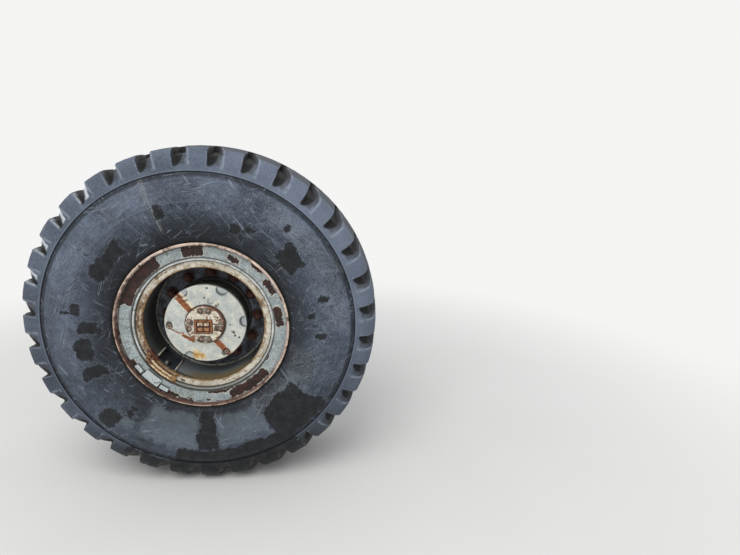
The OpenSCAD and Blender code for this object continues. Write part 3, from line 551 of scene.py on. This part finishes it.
flange_paint, place = new_material("flange_paint")
r, angle, _ = polar(place)
fine = noise(place, 140.0, 5.0, 0.7)
blotch = noise(place, 24.0, 5.0, 0.6)
wander = (noise(place, 40.0, 5.0, 0.65) - 0.5) * 0.042 + (fine - 0.5) * 0.010
bare = patches(r, angle, wander, [
    (142, 21, 0.342, 0.028), (95.5, 8.0, 0.343, 0.024), (65, 5.6, 0.338, 0.016), (47.5, 6, 0.361, 0.007),
    (32, 6.5, 0.347, 0.016), (8, 8.5, 0.337, 0.021), (-12, 1.6, 0.338, 0.005), (-28, 9, 0.318, 0.003),
    (-55, 17, 0.343, 0.024), (-78, 12, 0.320, 0.008), (-100, 5, 0.358, 0.002), (-88, 3, 0.358, 0.002),
    (-142, 44, 0.368, 0.005), (-132, 22, 0.361, 0.011), (84.5, 0.7, 0.346, 0.006), (168, 22, 0.367, 0.004)])
bare_mask = bare.step(0.0, 0.0016)
flake_edge = bare.near(0.0, 0.0010, 0.0016)
lip = r.step(0.3665, 0.3700)
dull = noise(stretched(place, r, 12.0, 14.0), 1.0, 5.0, 0.7)
paint = (blotch * 0.4 + fine * 0.6).step(0.32, 0.68).mix((110, 123, 128), (192, 200, 199))
paint = layered(paint, [
    (dull.step(0.52, 0.66) * 0.65, (112, 108, 98)),
    (noise(place, 190.0, 3.0, 0.6).step(0.62, 0.69) * 0.8, (76, 54, 44)),
    (noise(place, 52.0, 5.0, 0.7).step(0.63, 0.67) * 0.9, (50, 33, 28))])
coat = (flake_edge * 0.6).mix(bare_mask.mix(paint, rust_tone(place)), (212, 208, 196))
# sunny: the lip is painted lighter towards the upper right, and its inner side darker away from there, as
# painted light and shade.
sunny = angle.away(62).step(160, 50)
lip_grain = (blotch * 0.45 + fine * 0.55).step(0.32, 0.68)
lip_tone = lip_grain.mix(sunny.mix((62, 38, 28), (122, 92, 76)),
                         sunny.mix((164, 128, 108), (246, 224, 210)))
lip_tone = layered(lip_tone, [
    (noise(stretched(place, r, 11.0, 20.0), 1.0, 4.0).step(0.56, 0.64) * 0.8, (62, 36, 28)),
    ((1 - sunny) * r.step(0.3755, 0.3715) * 0.75, (70, 38, 26)),
    (r.near(0.3785, 0.0012, 0.0015) * blotch.step(0.40, 0.52) * 0.75, (222, 198, 178))])
tone = (lip * (1 - bare_mask * r.near(0.362, 0.006, 0.003))).mix(coat, lip_tone)
# The dark line at the lip's foot is rust where the blotches fall, and painted shade round the upper left.
shaded = degrees_off(angle, 140).step(100, 60)
seam = r.near(0.3655, 0.0016, 0.0022) * blotch.step(0.44, 0.58).math("MAXIMUM", shaded)
tone = (seam * 0.80).mix(tone, (44, 28, 22))
rough = 0.45 + 0.3 * fine + bare_mask * 0.12
dress(flange_paint, tone, rough, blotch * 0.0006 + fine * 0.0003 - bare_mask * 0.0006)
for name in ("outer_flange_ring", "inner_flange_ring"):
    dress_node(name, flange_paint)

# Lock ring and bead seat band: the split spring-steel ring is driven into the gutter's groove and rubbed
# bright grey on its face, with a dark line on each side, where it meets the band and the gutter.
ring_steel, place = new_material("ring_steel")
r, angle, _ = polar(place)
fine = noise(place, 150.0, 5.0, 0.7)
worn = noise(stretched(place, r, 7.0, 90.0), 1.0, 4.0, 0.6)
paint = (worn * 0.6 + fine * 0.4).step(0.3, 0.7).mix((152, 157, 156), (236, 239, 236))
spots = noise(place, 34.0, 5.0, 0.65)
paint = layered(paint, [
    (spots.step(0.58, 0.68) * 0.75, (98, 80, 62)),
    (angle.away(-105).step(60, 25) * worn.step(0.40, 0.60) * 0.65, (104, 84, 64)),
    # painted shade: the ring is darker towards the bottom
    (angle.away(-88).step(85, 45) * 0.45, (96, 92, 84))])
# edge_lines: a dark line along each side of the ring, where it meets the band and the gutter.
edge_lines = (r.step(0.3035, 0.3000) + r.step(0.3096, 0.3118)).math("MINIMUM", 1.0)
tone = (edge_lines * 0.8).mix(paint, (52, 50, 45))
dress(ring_steel, tone, 0.42 + 0.25 * fine, worn * 0.0005 + fine * 0.0002, metal=0.15)
dress_node("lock_ring", ring_steel)
dress_node("bead_seat_band", ring_steel)

# Rim base: the welded steel base, with its gutter face, dish wall and inboard seat. The gutter is cream paint
# stained yellow-brown, the dish wall behind it is cream at the mouth and greyer and oily further in, its dark
# grey partly painted shade.
base_paint, place = new_material("rim_base_paint")
r, angle, depth = polar(place)
fine = noise(place, 130.0, 5.0, 0.7)
cloud = noise(place, 16.0, 5.0, 0.6)
drip = noise(stretched(place, depth, 46.0, 5.0), 1.0, 4.0, 0.6)
wander = (noise(place, 60.0, 5.0, 0.65) - 0.5) * 0.020
cream = (cloud * 0.5 + fine * 0.5).step(0.3, 0.7).mix((170, 160, 138), (232, 228, 214))
stain = noise(stretched(place, r, 9.0, 60.0), 1.0, 5.0, 0.7)
rearward = degrees_off(angle, -168).step(64, 24)
stain = stain + rearward * 0.16 + angle.away(32).step(34, 12) * 0.05 + r.near(0.270, 0.003, 0.006) * 0.07
drips = noise(stretched(place, r, 26.0, 40.0), 1.0, 5.0, 0.7)
inner_edge = 1 - (r + (drips - 0.5) * 0.026 - rearward * 0.004).step(0.268, 0.2735)
inner_edge = inner_edge * depth.near(0.036, 0.010, 0.012)
cream = layered(cream, [
    (stain.step(0.50, 0.64) * 0.8, (138, 108, 72)),
    (stain.step(0.63, 0.70) * 0.8, (74, 48, 32)),
    (inner_edge * 0.85, drips.step(0.40, 0.62).mix((146, 112, 64), (74, 46, 30))),
    ((r + (drips - 0.5) * 0.012).near(0.2985, 0.0008, 0.003) * 0.7, (92, 66, 44)),
    (noise(place, 75.0, 5.0, 0.7).step(0.62, 0.67) * 0.85, (66, 42, 30))])
grey = (drip * 0.5 + fine * 0.5).step(0.3, 0.7).mix((30, 32, 30), (66, 68, 64))
lower = angle.away(-78).step(40, 20)
bottom = angle.away(-94).step(56, 30)
grey = layered(grey, [
    # painted light: a lighter grey band low down on the dish wall
    (bottom * depth.near(0.130, 0.066, 0.012) * 0.85, fine.mix((96, 102, 104), (152, 158, 158))),
    (rearward * depth.step(0.120, 0.070) * 0.55, (84, 89, 88)),
    (lower * (depth + (drip - 0.5) * 0.03).near(0.070, 0.024, 0.02) * 0.85, (112, 96, 62))])
deep = (depth + (stain - 0.5) * 0.016).step(0.040, 0.048) * (1 - r.step(0.268, 0.272))
tone = deep.mix(cream, grey)
recess_angle = -134
across = angle.away(recess_angle)
panel = across.step(10.7, 10.3) * depth.step(0.045, 0.049)
sides = across.near(11.05, 0.62, 0.15) * depth.step(0.040, 0.044) * depth.step(0.152, 0.148)
sides = sides * r.step(0.2668, 0.2660)
behind = patches(r, angle, wander, [
    (-148, 7, 0.276, 0.016), (-112, 3.5, 0.286, 0.006), (-103, 2.0, 0.280, 0.003)])
tone = layered(tone, [
    ((depth - 0.24).step(0.0, 0.01), (fine * 0.5 + cloud * 0.5).mix((50, 48, 44), (104, 98, 90))),
    (panel, (drip * 0.5 + fine * 0.5).step(0.3, 0.7).mix((36, 40, 47), (74, 80, 88))),
    (sides, fine.step(0.36, 0.58).mix((150, 132, 104), (236, 228, 208))),
    (behind.step(-0.001, 0.002) * depth.step(0.056, 0.050) * 0.9,
     fine.step(0.4, 0.66).mix((52, 26, 20), (110, 62, 40)))])
dress(base_paint, tone, 0.40 + 0.3 * fine, cloud * 0.0008 + fine * 0.0003 + stain * 0.0004)
for name in ("rim_base", "gutter_section"):
    dress_node(name, base_paint)

# Mounting disc: pressed steel welded in the dish and held on the hub by twelve wheel nuts. It sits deep in
# shade, its grey paint dulled with oily dirt and rusting round each stud.
disc_paint, place = new_material("disc_paint")
r, angle, _ = polar(place)
fine = noise(place, 120.0, 5.0, 0.7)
cloud = noise(place, 20.0, 5.0, 0.6)
stud_r, stud_step = 0.2125, 30
off = (angle / stud_step).math("PINGPONG", 0.5) * (np.radians(stud_step) * stud_r)
round_stud = (off * off + (r - stud_r) * (r - stud_r)).math("SQRT")
tone = (cloud * 0.6 + fine * 0.4).step(0.40, 0.60).mix((34, 36, 40), (116, 122, 134))
tone = layered(tone, [
    ((1 - (round_stud + (cloud - 0.5) * 0.02).step(0.026, 0.036)) * 0.8, rust_tone(place)),
    (r.step(0.250, 0.258) * 0.6, (62, 54, 42))])
dress(disc_paint, tone, 0.5 + 0.25 * fine, cloud * 0.0006 + fine * 0.0004)
dress_node("mounting_disc", disc_paint)


# Ring weld: the bead that joins the disc to the dish wall, laid in one run round the corner between them and
# painted with them. Its grey is lighter than the oily faces beside it, and along the bottom it has painted
# light.
def ring_weld(count, sides, radius, middle_y, size):
    """A circle carried round the wheel, whose size swells with the absolute sine of the run's ripples.

    A slow sine on top of that makes the bead uneven. Rows and columns both close on themselves."""
    around = np.arange(count)[:, None] * (2 * np.pi / count)
    section = np.arange(sides)[None] * (2 * np.pi / sides)
    bead = size * (1 + 0.22 * np.abs(np.sin(around * 90)) + 0.08 * np.sin(around * 17))
    out = radius + bead * np.cos(section)
    return np.stack([out * np.cos(around), middle_y - bead * np.sin(section), out * np.sin(around)], -1)


weld_paint, place = new_material("weld_paint")
_, angle, _ = polar(place)
fine = noise(place, 160.0, 5.0, 0.7)
blotch = noise(place, 40.0, 4.0, 0.6)
tone = (fine * 0.5 + blotch * 0.5).step(0.36, 0.62).mix((70, 70, 64), (150, 150, 140))
tone = layered(tone, [
    # painted light along the bottom of the weld
    (angle.away(-94).step(70, 30) * 0.7, (196, 194, 180)),
    (blotch.step(0.56, 0.64) * 0.7, rust_tone(place))])
dress(weld_paint, tone, 0.5 + 0.2 * fine, fine * 0.0004)
weld_points = ring_weld(count=1080, sides=12, radius=0.2628, middle_y=-0.3577, size=0.0044)
disc_weld = put_mesh("disc_weld", weld_points, ring_faces(*weld_points.shape[:2]), weld_paint)
disc_weld.data.shade_smooth()
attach(disc_weld, "wheel")

# Wheel nuts: twelve hexagon nuts and the ends of their studs, deep in the shade of the dish and rusted an
# even dark red-brown.
nut_rust, place = new_material("nut_rust")
fine = noise(place, 220.0, 5.0, 0.7)
blotch = noise(place, 60.0, 4.0, 0.6)
tone = (fine * 0.5 + blotch * 0.5).step(0.35, 0.68).mix((30, 17, 17), (120, 72, 60))
dress(nut_rust, tone, 0.6 + 0.2 * fine, fine * 0.0005 + blotch * 0.0005, metal=0.2)
dress_node("wheel_nuts", nut_rust)

# Lock hardware: the curved key bar bolted over the split of the lock ring, rusty with rubbed cream paint,
# the bright driver block welded to the flange wall, the valve with its cap in the recess, and lumps of
# dried dirt and rust beside the bar.
key_finish, place = new_material("key_rust")
r, angle, _ = polar(place)
fine = noise(place, 180.0, 5.0, 0.7)
blotch = noise(place, 45.0, 5.0, 0.65)
tone = (blotch * 0.5 + fine * 0.5).step(0.38, 0.60).mix((126, 78, 40), (220, 190, 142))
# bright: two painted highlights along the bar's top; the dark lines below are painted shade along its edges
# and down its middle.
bright = (r.near(0.2835, 0.0012, 0.0015) + r.near(0.3005, 0.0014, 0.0015)) * fine.step(0.36, 0.48)
tone = layered(tone, [
    (bright * 0.85, (244, 230, 200)),
    ((r.near(0.2915, 0.0010, 0.0020) + r.step(0.2800, 0.2785) + r.step(0.3065, 0.3080)) * 0.75,
     (70, 40, 24)),
    (noise(place, 100.0, 4.0, 0.7).step(0.54, 0.60) * 0.75, (78, 42, 26)),
    ((angle + (blotch - 0.5) * 12).step(-142.5, -145.5) * 0.9,
     fine.mix((52, 24, 18), (112, 58, 38))),
    ((angle + (blotch - 0.5) * 10).step(-124.5, -121.5) * 0.7,
     fine.mix((64, 40, 26), (190, 150, 98)))])
dress(key_finish, tone, 0.46 + 0.2 * fine, blotch * 0.0020 + fine * 0.0006, metal=0.2)
dress_node("lock_key", key_finish)

block_paint, place = new_material("block_paint")
r, angle, _ = polar(place)
fine = noise(place, 160.0, 5.0, 0.7)
blotch = noise(place, 50.0, 5.0, 0.65)
tone = (blotch * 0.5 + fine * 0.5).step(0.3, 0.62).mix((146, 157, 163), (202, 208, 208))
across = angle.away(recess_angle)
# outline: dark lines along the block's edges, painted shade where it stands on the flange.
outline = (across.near(7.6, 0.55, 0.25) + across.step(14.6, 15.0) + r.step(0.3585, 0.3605)
           + across.step(8.0, 8.3) * r.step(0.3420, 0.3400) + r.step(0.3215, 0.3200)).math("MINIMUM", 1.0)
tone = layered(tone, [
    (blotch.step(0.60, 0.66) * 0.8, rust_tone(place)),
    (outline * 0.85, (38, 28, 24))])
dress(block_paint, tone, 0.5, blotch * 0.0006 + fine * 0.0003)
dress_node("driver_block", block_paint)

valve_finish, place = new_material("valve_brass")
fine = noise(place, 240.0, 4.0, 0.7)
cap_end = axes(place)[1].step(-0.474, -0.478)
tone = cap_end.mix(fine.mix((70, 66, 56), (110, 100, 80)),
                   fine.mix((168, 170, 168), (206, 208, 206)))
dress(valve_finish, tone, 0.4 + 0.2 * fine, fine * 0.0002, metal=0.6)
dress_node("valve_stem", valve_finish)


def lumps(rng, centres, size):
    """Uneven pebbles in rows from pole to pole: a ball whose radius swells by a sum of three random waves.

    Seams are closed by the faces, and the poles, where a whole row lies in one point, by the merge below."""
    up = np.linspace(0, np.pi, 13)[:, None]
    around = np.linspace(0, 2 * np.pi, 25)[None, :-1]
    ball = np.stack([np.sin(up) * np.cos(around), np.sin(up) * np.sin(around), np.cos(up) + 0 * around], -1)
    shapes = []
    for centre in centres:
        waves = rng.normal(size=(3, 3)) * 2.2
        swell = 1 + 0.16 * np.sin(ball @ waves.T + rng.random(3) * 6).sum(-1)
        stretch = size * (0.7 + 0.6 * rng.random(3))
        shapes.append(centre + ball * swell[..., None] * stretch)
    return np.array(shapes)


def closed_rows(points):
    """Corner numbers of the faces of shapes made of rows that close sideways, their end rows at a point."""
    count, rows, cols = points.shape[:3]
    number = np.arange(count * rows * cols).reshape(count, rows, cols)
    right = np.roll(number, -1, 2)
    return np.stack([number[:, :-1], number[:, 1:], right[:, 1:], right[:, :-1]], -1).reshape(-1, 4)


rng = np.random.default_rng(5)
lump_size = 0.0062
crust = np.radians(np.array([-119.6, -118.4, -120.8, -121.8, -117.6, -149.0, -150.4, -148.0, -146.6, -151.0]))
crust_r = np.array([0.290, 0.297, 0.303, 0.285, 0.304, 0.287, 0.296, 0.301, 0.281, 0.281])
crust_y = np.array([3, 0, 2, 4, 6, 2, 4, 0, 3, 7]) * 0.001 - 0.5360
crust_centres = np.stack([crust_r * np.cos(crust), crust_y, crust_r * np.sin(crust)], 1)
lump_points = lumps(rng, crust_centres, lump_size)
crust_rust, place = new_material("crust_rust")
fine = noise(place, 240.0, 5.0, 0.7)
blotch = noise(place, 70.0, 4.0, 0.6)
tone = (fine * 0.5 + blotch * 0.5).step(0.36, 0.64).mix((58, 32, 22), (196, 150, 98))
dress(crust_rust, tone, 0.7, fine * 0.0006 + blotch * 0.0008)
dirt_crust = put_mesh("dirt_crust", lump_points, closed_rows(lump_points), crust_rust)
joined = bmesh.new()
joined.from_mesh(dirt_crust.data)
bmesh.ops.remove_doubles(joined, verts=joined.verts, dist=1e-6)
joined.to_mesh(dirt_crust.data)
joined.free()
dirt_crust.data.shade_smooth()
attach(dirt_crust, "wheel")

# Hub and planet housing: machined and cast iron under old grey paint, wet with oil between cover and disc,
# with brown rust coming through. The spindle behind them has the same finish.
hub_finish, place = new_material("hub_casting")
fine = noise(place, 140.0, 5.0, 0.75)
cloud = noise(place, 14.0, 5.0, 0.6)
tone = (cloud * 0.6 + fine * 0.4).step(0.3, 0.7).mix((36, 37, 34), (82, 83, 78))
tone = (noise(place, 30.0, 4.0).step(0.56, 0.66) * 0.5).mix(tone, (78, 56, 40))
dress(hub_finish, tone, 0.42 + 0.3 * fine, cloud * 0.0006 + fine * 0.0006)
for name in ("hub", "planet_housing", "spindle"):
    dress_node(name, hub_finish)


# Cover: a thick iron lid over the planet gears, in flaking pale blue-grey paint, with pockets round its edge.
# Rust has run down from the cap, and two straight rusty bands show where a strap once crossed it.
def stroke(x, z, start, end, width, wander):
    """1 within half a width of the straight line between two points, with a wandering edge."""
    run = np.array(end) - np.array(start)
    share = ((x - start[0]) * (run[0] / run.dot(run)) + (z - start[1]) * (run[1] / run.dot(run)))
    share = share.math("MAXIMUM", 0.0).math("MINIMUM", 1.0)
    away_x = x - start[0] - share * run[0]
    away_z = z - start[1] - share * run[1]
    away = (away_x * away_x + away_z * away_z).math("SQRT")
    return 1 - (away + wander).step(width / 2, width / 2 + 0.0015)


def spot(x, z, middle, radius, soft, wander=0.0):
    """1 within a radius of a point on the wheel's face, falling to 0 over soft."""
    across, down = x - middle[0], z - middle[1]
    return 1 - ((across * across + down * down).math("SQRT") + wander).step(radius, radius + soft)


cover_paint, place = new_material("cover_paint")
r, _, depth = polar(place)
x, _, z = axes(place)
fine = noise(place, 190.0, 5.0, 0.75)
cloud = noise(place, 20.0, 5.0, 0.6)
ragged = (noise(place, 90.0, 4.0) - 0.5) * 0.012 + (noise(place, 260.0, 3.0) - 0.5) * 0.005
paint = (cloud * 0.5 + fine * 0.5).step(0.32, 0.68).mix((164, 171, 170), (222, 222, 212))
bluish = (spot(x, z, (0.112, 0.074), 0.016, 0.020) + spot(x, z, (0.115, 0.015), 0.018, 0.020)
          + spot(x, z, (-0.125, 0.015), 0.016, 0.016) + spot(x, z, (0.032, -0.156), 0.014, 0.016)
          + depth.step(0.058, 0.060) * r.step(0.30, 0.10)).math("MINIMUM", 1.0)
paint = layered(paint, [
    (bluish * 0.22, (156, 170, 176)),
    (noise(place, 30.0, 4.0).step(0.52, 0.66) * 0.45, (236, 226, 198))])
for direction in np.radians([4, 64, 124, 244]):
    way = np.array([np.cos(direction), np.sin(direction)])
    pocket = spot(x, z, 0.179 * way, 0.0266, 0.0008)
    # Each pocket is tinted blue-grey, with a painted shadow as a dark crescent along its side towards the
    # middle.
    crescent = pocket * (1 - spot(x, z, 0.187 * way, 0.0235, 0.0075, ragged * 0.4))
    paint = layered(paint, [
        (pocket * 0.35, (150, 164, 176)),
        (crescent * 0.85, (66, 62, 58))])
runs = (noise(stretched(place, x * 9.0 + z * 3.0, 1.0, 9.0), 4.0, 5.0, 0.8) - 0.5) * 0.030
stained = largest([spot(x, z, middle, radius, soft, ragged * 2.6 + runs) for middle, radius, soft in (
    ((-0.046, -0.150), 0.008, 0.024), ((-0.022, -0.156), 0.003, 0.022))])
marks = largest([stroke(x, z, start, end, width, ragged * 0.3) for start, end, width in (
    ((0.0165, 0.119), (0.0145, 0.103), 0.003), ((0.0145, 0.103), (0.024, 0.094), 0.002),
    ((0.024, 0.094), (0.036, 0.101), 0.002), ((0.036, 0.079), (0.058, 0.082), 0.002),
    ((0.090, 0.024), (0.094, 0.004), 0.002))])
bars = largest([stroke(x, z, start, end, width, ragged * rag) for start, end, width, rag in (
    ((-0.122, 0.130), (-0.060, 0.056), 0.024, 1.0), ((0.045, -0.082), (0.100, -0.143), 0.024, 1.0),
    ((-0.153, -0.026), (-0.120, -0.044), 0.004, 0.3), ((-0.120, -0.044), (-0.099, -0.044), 0.005, 0.4),
    ((-0.100, -0.055), (-0.059, -0.081), 0.013, 0.8))])
scab = (fine * 0.6 + noise(place, 60.0, 5.0, 0.7) * 0.4).step(0.36, 0.64)
halo = stroke(x, z, (-0.118, 0.132), (-0.062, 0.066), 0.040, ragged * 1.6)
flaked = largest([spot(x, z, middle, radius, 0.002, ragged * rag) for middle, radius, rag in (
    ((-0.128, 0.118), 0.004, 1.0), ((0.124, -0.040), 0.0055, 0.6), ((0.130, -0.056), 0.0045, 0.6),
    ((0.110, -0.005), 0.0025, 0.6), ((0.149, -0.065), 0.004, 0.6), ((-0.001, 0.123), 0.003, 0.6),
    ((0.050, 0.087), 0.004, 0.6), ((0.060, 0.094), 0.003, 0.6), ((-0.142, -0.030), 0.003, 0.6),
    ((0.012, 0.168), 0.004, 0.6))])
seats = largest([spot(x, z, middle, 0.0140, 0.0015) for middle in ((-0.162, -0.001), (0.080, -0.140))])
paint = layered(paint, [
    (noise(place, 260.0, 3.0, 0.6).step(0.66, 0.72) * 0.8, (104, 76, 56)),
    (noise(place, 70.0, 5.0, 0.7).step(0.65, 0.69) * 0.8, (92, 60, 44)),
    (stained * 0.90, (226, 178, 84)),
    (stained.step(0.70, 1.0) * fine.step(0.44, 0.54) * 0.85, (126, 78, 30)),
    (marks * 0.75, (58, 56, 62)),
    (halo * 0.6, (244, 226, 188)),
    (bars, scab.mix((84, 42, 20), (188, 114, 64))),
    (stroke(x, z, (-0.090, 0.104), (-0.078, 0.112), 0.010, ragged * 0.5) * 0.7, (70, 38, 26)),
    (flaked * 0.9, rust_tone(place)),
    (seats * 0.8, (44, 30, 26))])
foot = r.near(0.0885, 0.0020, 0.004) * depth.near(0.056, 0.001, 0.002)
tone = (foot * 0.9).mix(paint, (44, 27, 22))
# Painted shade on the pockets' walls, and a painted highlight along the cover's outer edge.
pocket_wall = depth.step(0.0565, 0.0580) * depth.step(0.0662, 0.0650) * r.step(0.1795, 0.1750)
rim_edge = r.step(0.170, 0.174) * depth.step(0.060, 0.054)
tone = layered(tone, [
    (pocket_wall * 0.75, (72, 76, 78)),
    (rim_edge * 0.55, (206, 202, 186)),
    (depth.step(0.064, 0.072) * r.step(0.176, 0.180) * 0.85, (84, 78, 64))])
relief = cloud * 0.0006 + fine * 0.0003 - bars * 0.0005 + bars * scab * 0.0010 - flaked * 0.0003
dress(cover_paint, tone, 0.40 + 0.25 * fine + bars * 0.15, relief)
dress_node("hub_cover", cover_paint)

# Cap, its bolts and the bare plate in its middle: cream paint blistering off orange rust, with washer head
# bolts in four pairs and a plate that has lost all its paint.
cap_paint, place = new_material("cap_paint")
r, angle, depth = polar(place)
x, _, z = axes(place)
fine = noise(place, 200.0, 5.0, 0.7)
blister = noise(place, 62.0, 6.0, 0.7)
ragged = (noise(place, 120.0, 4.0) - 0.5) * 0.008
paint = (fine * 0.5 + noise(place, 30.0) * 0.5).step(0.3, 0.7).mix((176, 164, 142), (244, 238, 222))
clean_side = spot(x, z, (-0.050, 0.040), 0.020, 0.050)
rusty = (blister + r.step(0.074, 0.088) * 0.10 - clean_side * 0.05).step(0.515, 0.575)
# rings and plate_lines: dark rings round the bolts and dark lines round the plates, painted shade where they
# stand on the cap, and one dark line from the middle plate to the cap's right edge.
rings = largest([spot(x, z, middle, 0.0125, 0.004, ragged) for middle in (
    (-0.017, 0.064), (0.018, 0.063), (-0.063, 0.010), (-0.073, -0.021), (0.055, -0.017), (0.076, -0.021),
    (-0.022, -0.074), (0.017, -0.074))])
plate_lines = largest([stroke(x, z, start, end, 0.004, ragged * 0.7) for start, end in (
    ((-0.034, -0.076), (-0.020, -0.055)), ((-0.020, -0.055), (0.018, -0.055)),
    ((0.018, -0.055), (0.029, -0.076)), ((0.035, 0.004), (0.083, 0.002)),
    ((-0.045, 0.0235), (0.033, 0.0235)), ((-0.045, -0.0405), (0.033, -0.0405)),
    ((-0.045, 0.0235), (-0.045, -0.0405)), ((0.033, 0.0235), (0.033, -0.0405)))])
dark_lines = largest([rings, plate_lines])
paint = layered(paint, [
    (rusty * 0.90, fine.step(0.4, 0.7).mix((92, 48, 26), (184, 116, 68))),
    (dark_lines * 0.85, (46, 29, 23)),
    (depth.step(0.0425, 0.0445) * r.step(0.084, 0.080) * 0.55, (128, 116, 106)),
    (r.step(0.079, 0.084) * angle.away(12).step(80, 50) * 0.8, (92, 48, 28)),
    (r.step(0.0845, 0.0862) * 0.75, (84, 46, 32))])
dress(cap_paint, paint, 0.5 + 0.2 * fine, blister * 0.0012 + fine * 0.0003 - dark_lines * 0.0004)
dress_node("centre_cap", cap_paint)

plate_rust, place = new_material("plate_rust")
fine = noise(place, 220.0, 5.0, 0.7)
blister = noise(place, 80.0, 6.0, 0.7)
x, _, z = axes(place)
away_x, away_z = x.away(-0.006), z.away(-0.008)
worn = (fine * 0.5 + blister * 0.5).step(0.38, 0.62)
pads = away_x.away(0.014).step(0.0115, 0.0100) * away_z.away(0.012).step(0.0080, 0.0065)
frame_edge = away_x.step(0.0315, 0.0325).math("MAXIMUM", away_z.step(0.0240, 0.0250))
tone = worn.mix((38, 22, 16), (92, 52, 34))
top_pads = z.step(-0.0090, -0.0070)
pad_tone = worn.mix((128, 76, 46), top_pads.mix((188, 140, 100), (240, 222, 192)))
tone = layered(tone, [
    (pads * (0.55 + 0.45 * blister.step(0.42, 0.52)), pad_tone),
    (frame_edge, worn.mix((88, 46, 24), (186, 116, 66)))])
dress(plate_rust, tone, 0.55 + 0.2 * fine, blister * 0.0010 + fine * 0.0003)
dress_node("cap_plate", plate_rust)

bolt_finish, place = new_material("bolt_rust")
fine = noise(place, 260.0, 5.0, 0.7)
tone = fine.step(0.35, 0.65).mix((92, 60, 46), (186, 164, 146))
dress(bolt_finish, tone, 0.5, fine * 0.0004, metal=0.3)
for name in ("cap_bolts", "cover_screws"):
    dress_node(name, bolt_finish)

# Brake: a plain iron disc, swept bright between the pads' edges and rusty elsewhere, a cast caliper with two
# cylinders, its steel bracket, lining pads and the rubber seal ring on the spindle's neck.
disc_iron, place = new_material("disc_iron")
r, _, depth = polar(place)
fine = noise(place, 160.0, 5.0, 0.7)
groovy = noise(stretched(place, r, 2.0, 420.0), 1.0, 3.0, 0.6)
swept = r.step(0.183, 0.188) * r.step(0.246, 0.241)
bright = groovy.mix((120, 116, 110), (168, 164, 158))
faces = largest([depth.near(face, 0.001, 0.002) for face in (0.398, 0.4217)])
tone = (swept * faces).mix(rust_tone(place), bright)
dress(disc_iron, tone, 0.35 + 0.3 * fine, groovy * 0.0003 + fine * 0.0002, metal=swept * 0.6)
dress_node("brake_disc", disc_iron)

caliper_finish, place = new_material("caliper_casting")
fine = noise(place, 130.0, 5.0, 0.75)
cloud = noise(place, 22.0, 5.0, 0.6)
tone = (cloud * 0.6 + fine * 0.4).step(0.3, 0.7).mix((64, 58, 52), (112, 102, 92))
tone = (cloud.step(0.54, 0.62) * 0.5).mix(tone, (112, 74, 50))
dress(caliper_finish, tone, 0.6, cloud * 0.0006 + fine * 0.0008)
for name in ("brake_caliper", "caliper_bracket"):
    dress_node(name, caliper_finish)

lining, place = new_material("pad_lining")
fine = noise(place, 300.0, 4.0, 0.7)
dress(lining, fine.mix((62, 58, 56), (104, 98, 94)), 0.8, fine * 0.0004)
dress_node("brake_pads", lining)

seal_rubber, place = new_material("seal_rubber")
fine = noise(place, 120.0, 4.0, 0.6)
dress(seal_rubber, fine.mix((30, 30, 31), (56, 55, 54)), 0.55, fine * 0.0003)
dress_node("seal_ring", seal_rubber)

# Half shaft: forged steel with its rolled splines, oily and bright where it slides into the axle. It shows
# only from behind, in the middle of the spindle's flange.
shaft_steel, place = new_material("shaft_steel")
fine = noise(place, 150.0, 4.0, 0.6)
cloud = noise(place, 30.0, 4.0, 0.6)
tone = (cloud * 0.6 + fine * 0.4).mix((112, 108, 102), (162, 158, 152))
dress(shaft_steel, tone, 0.28 + 0.2 * fine, fine * 0.0002, metal=0.8)
dress_node("half_shaft", shaft_steel)
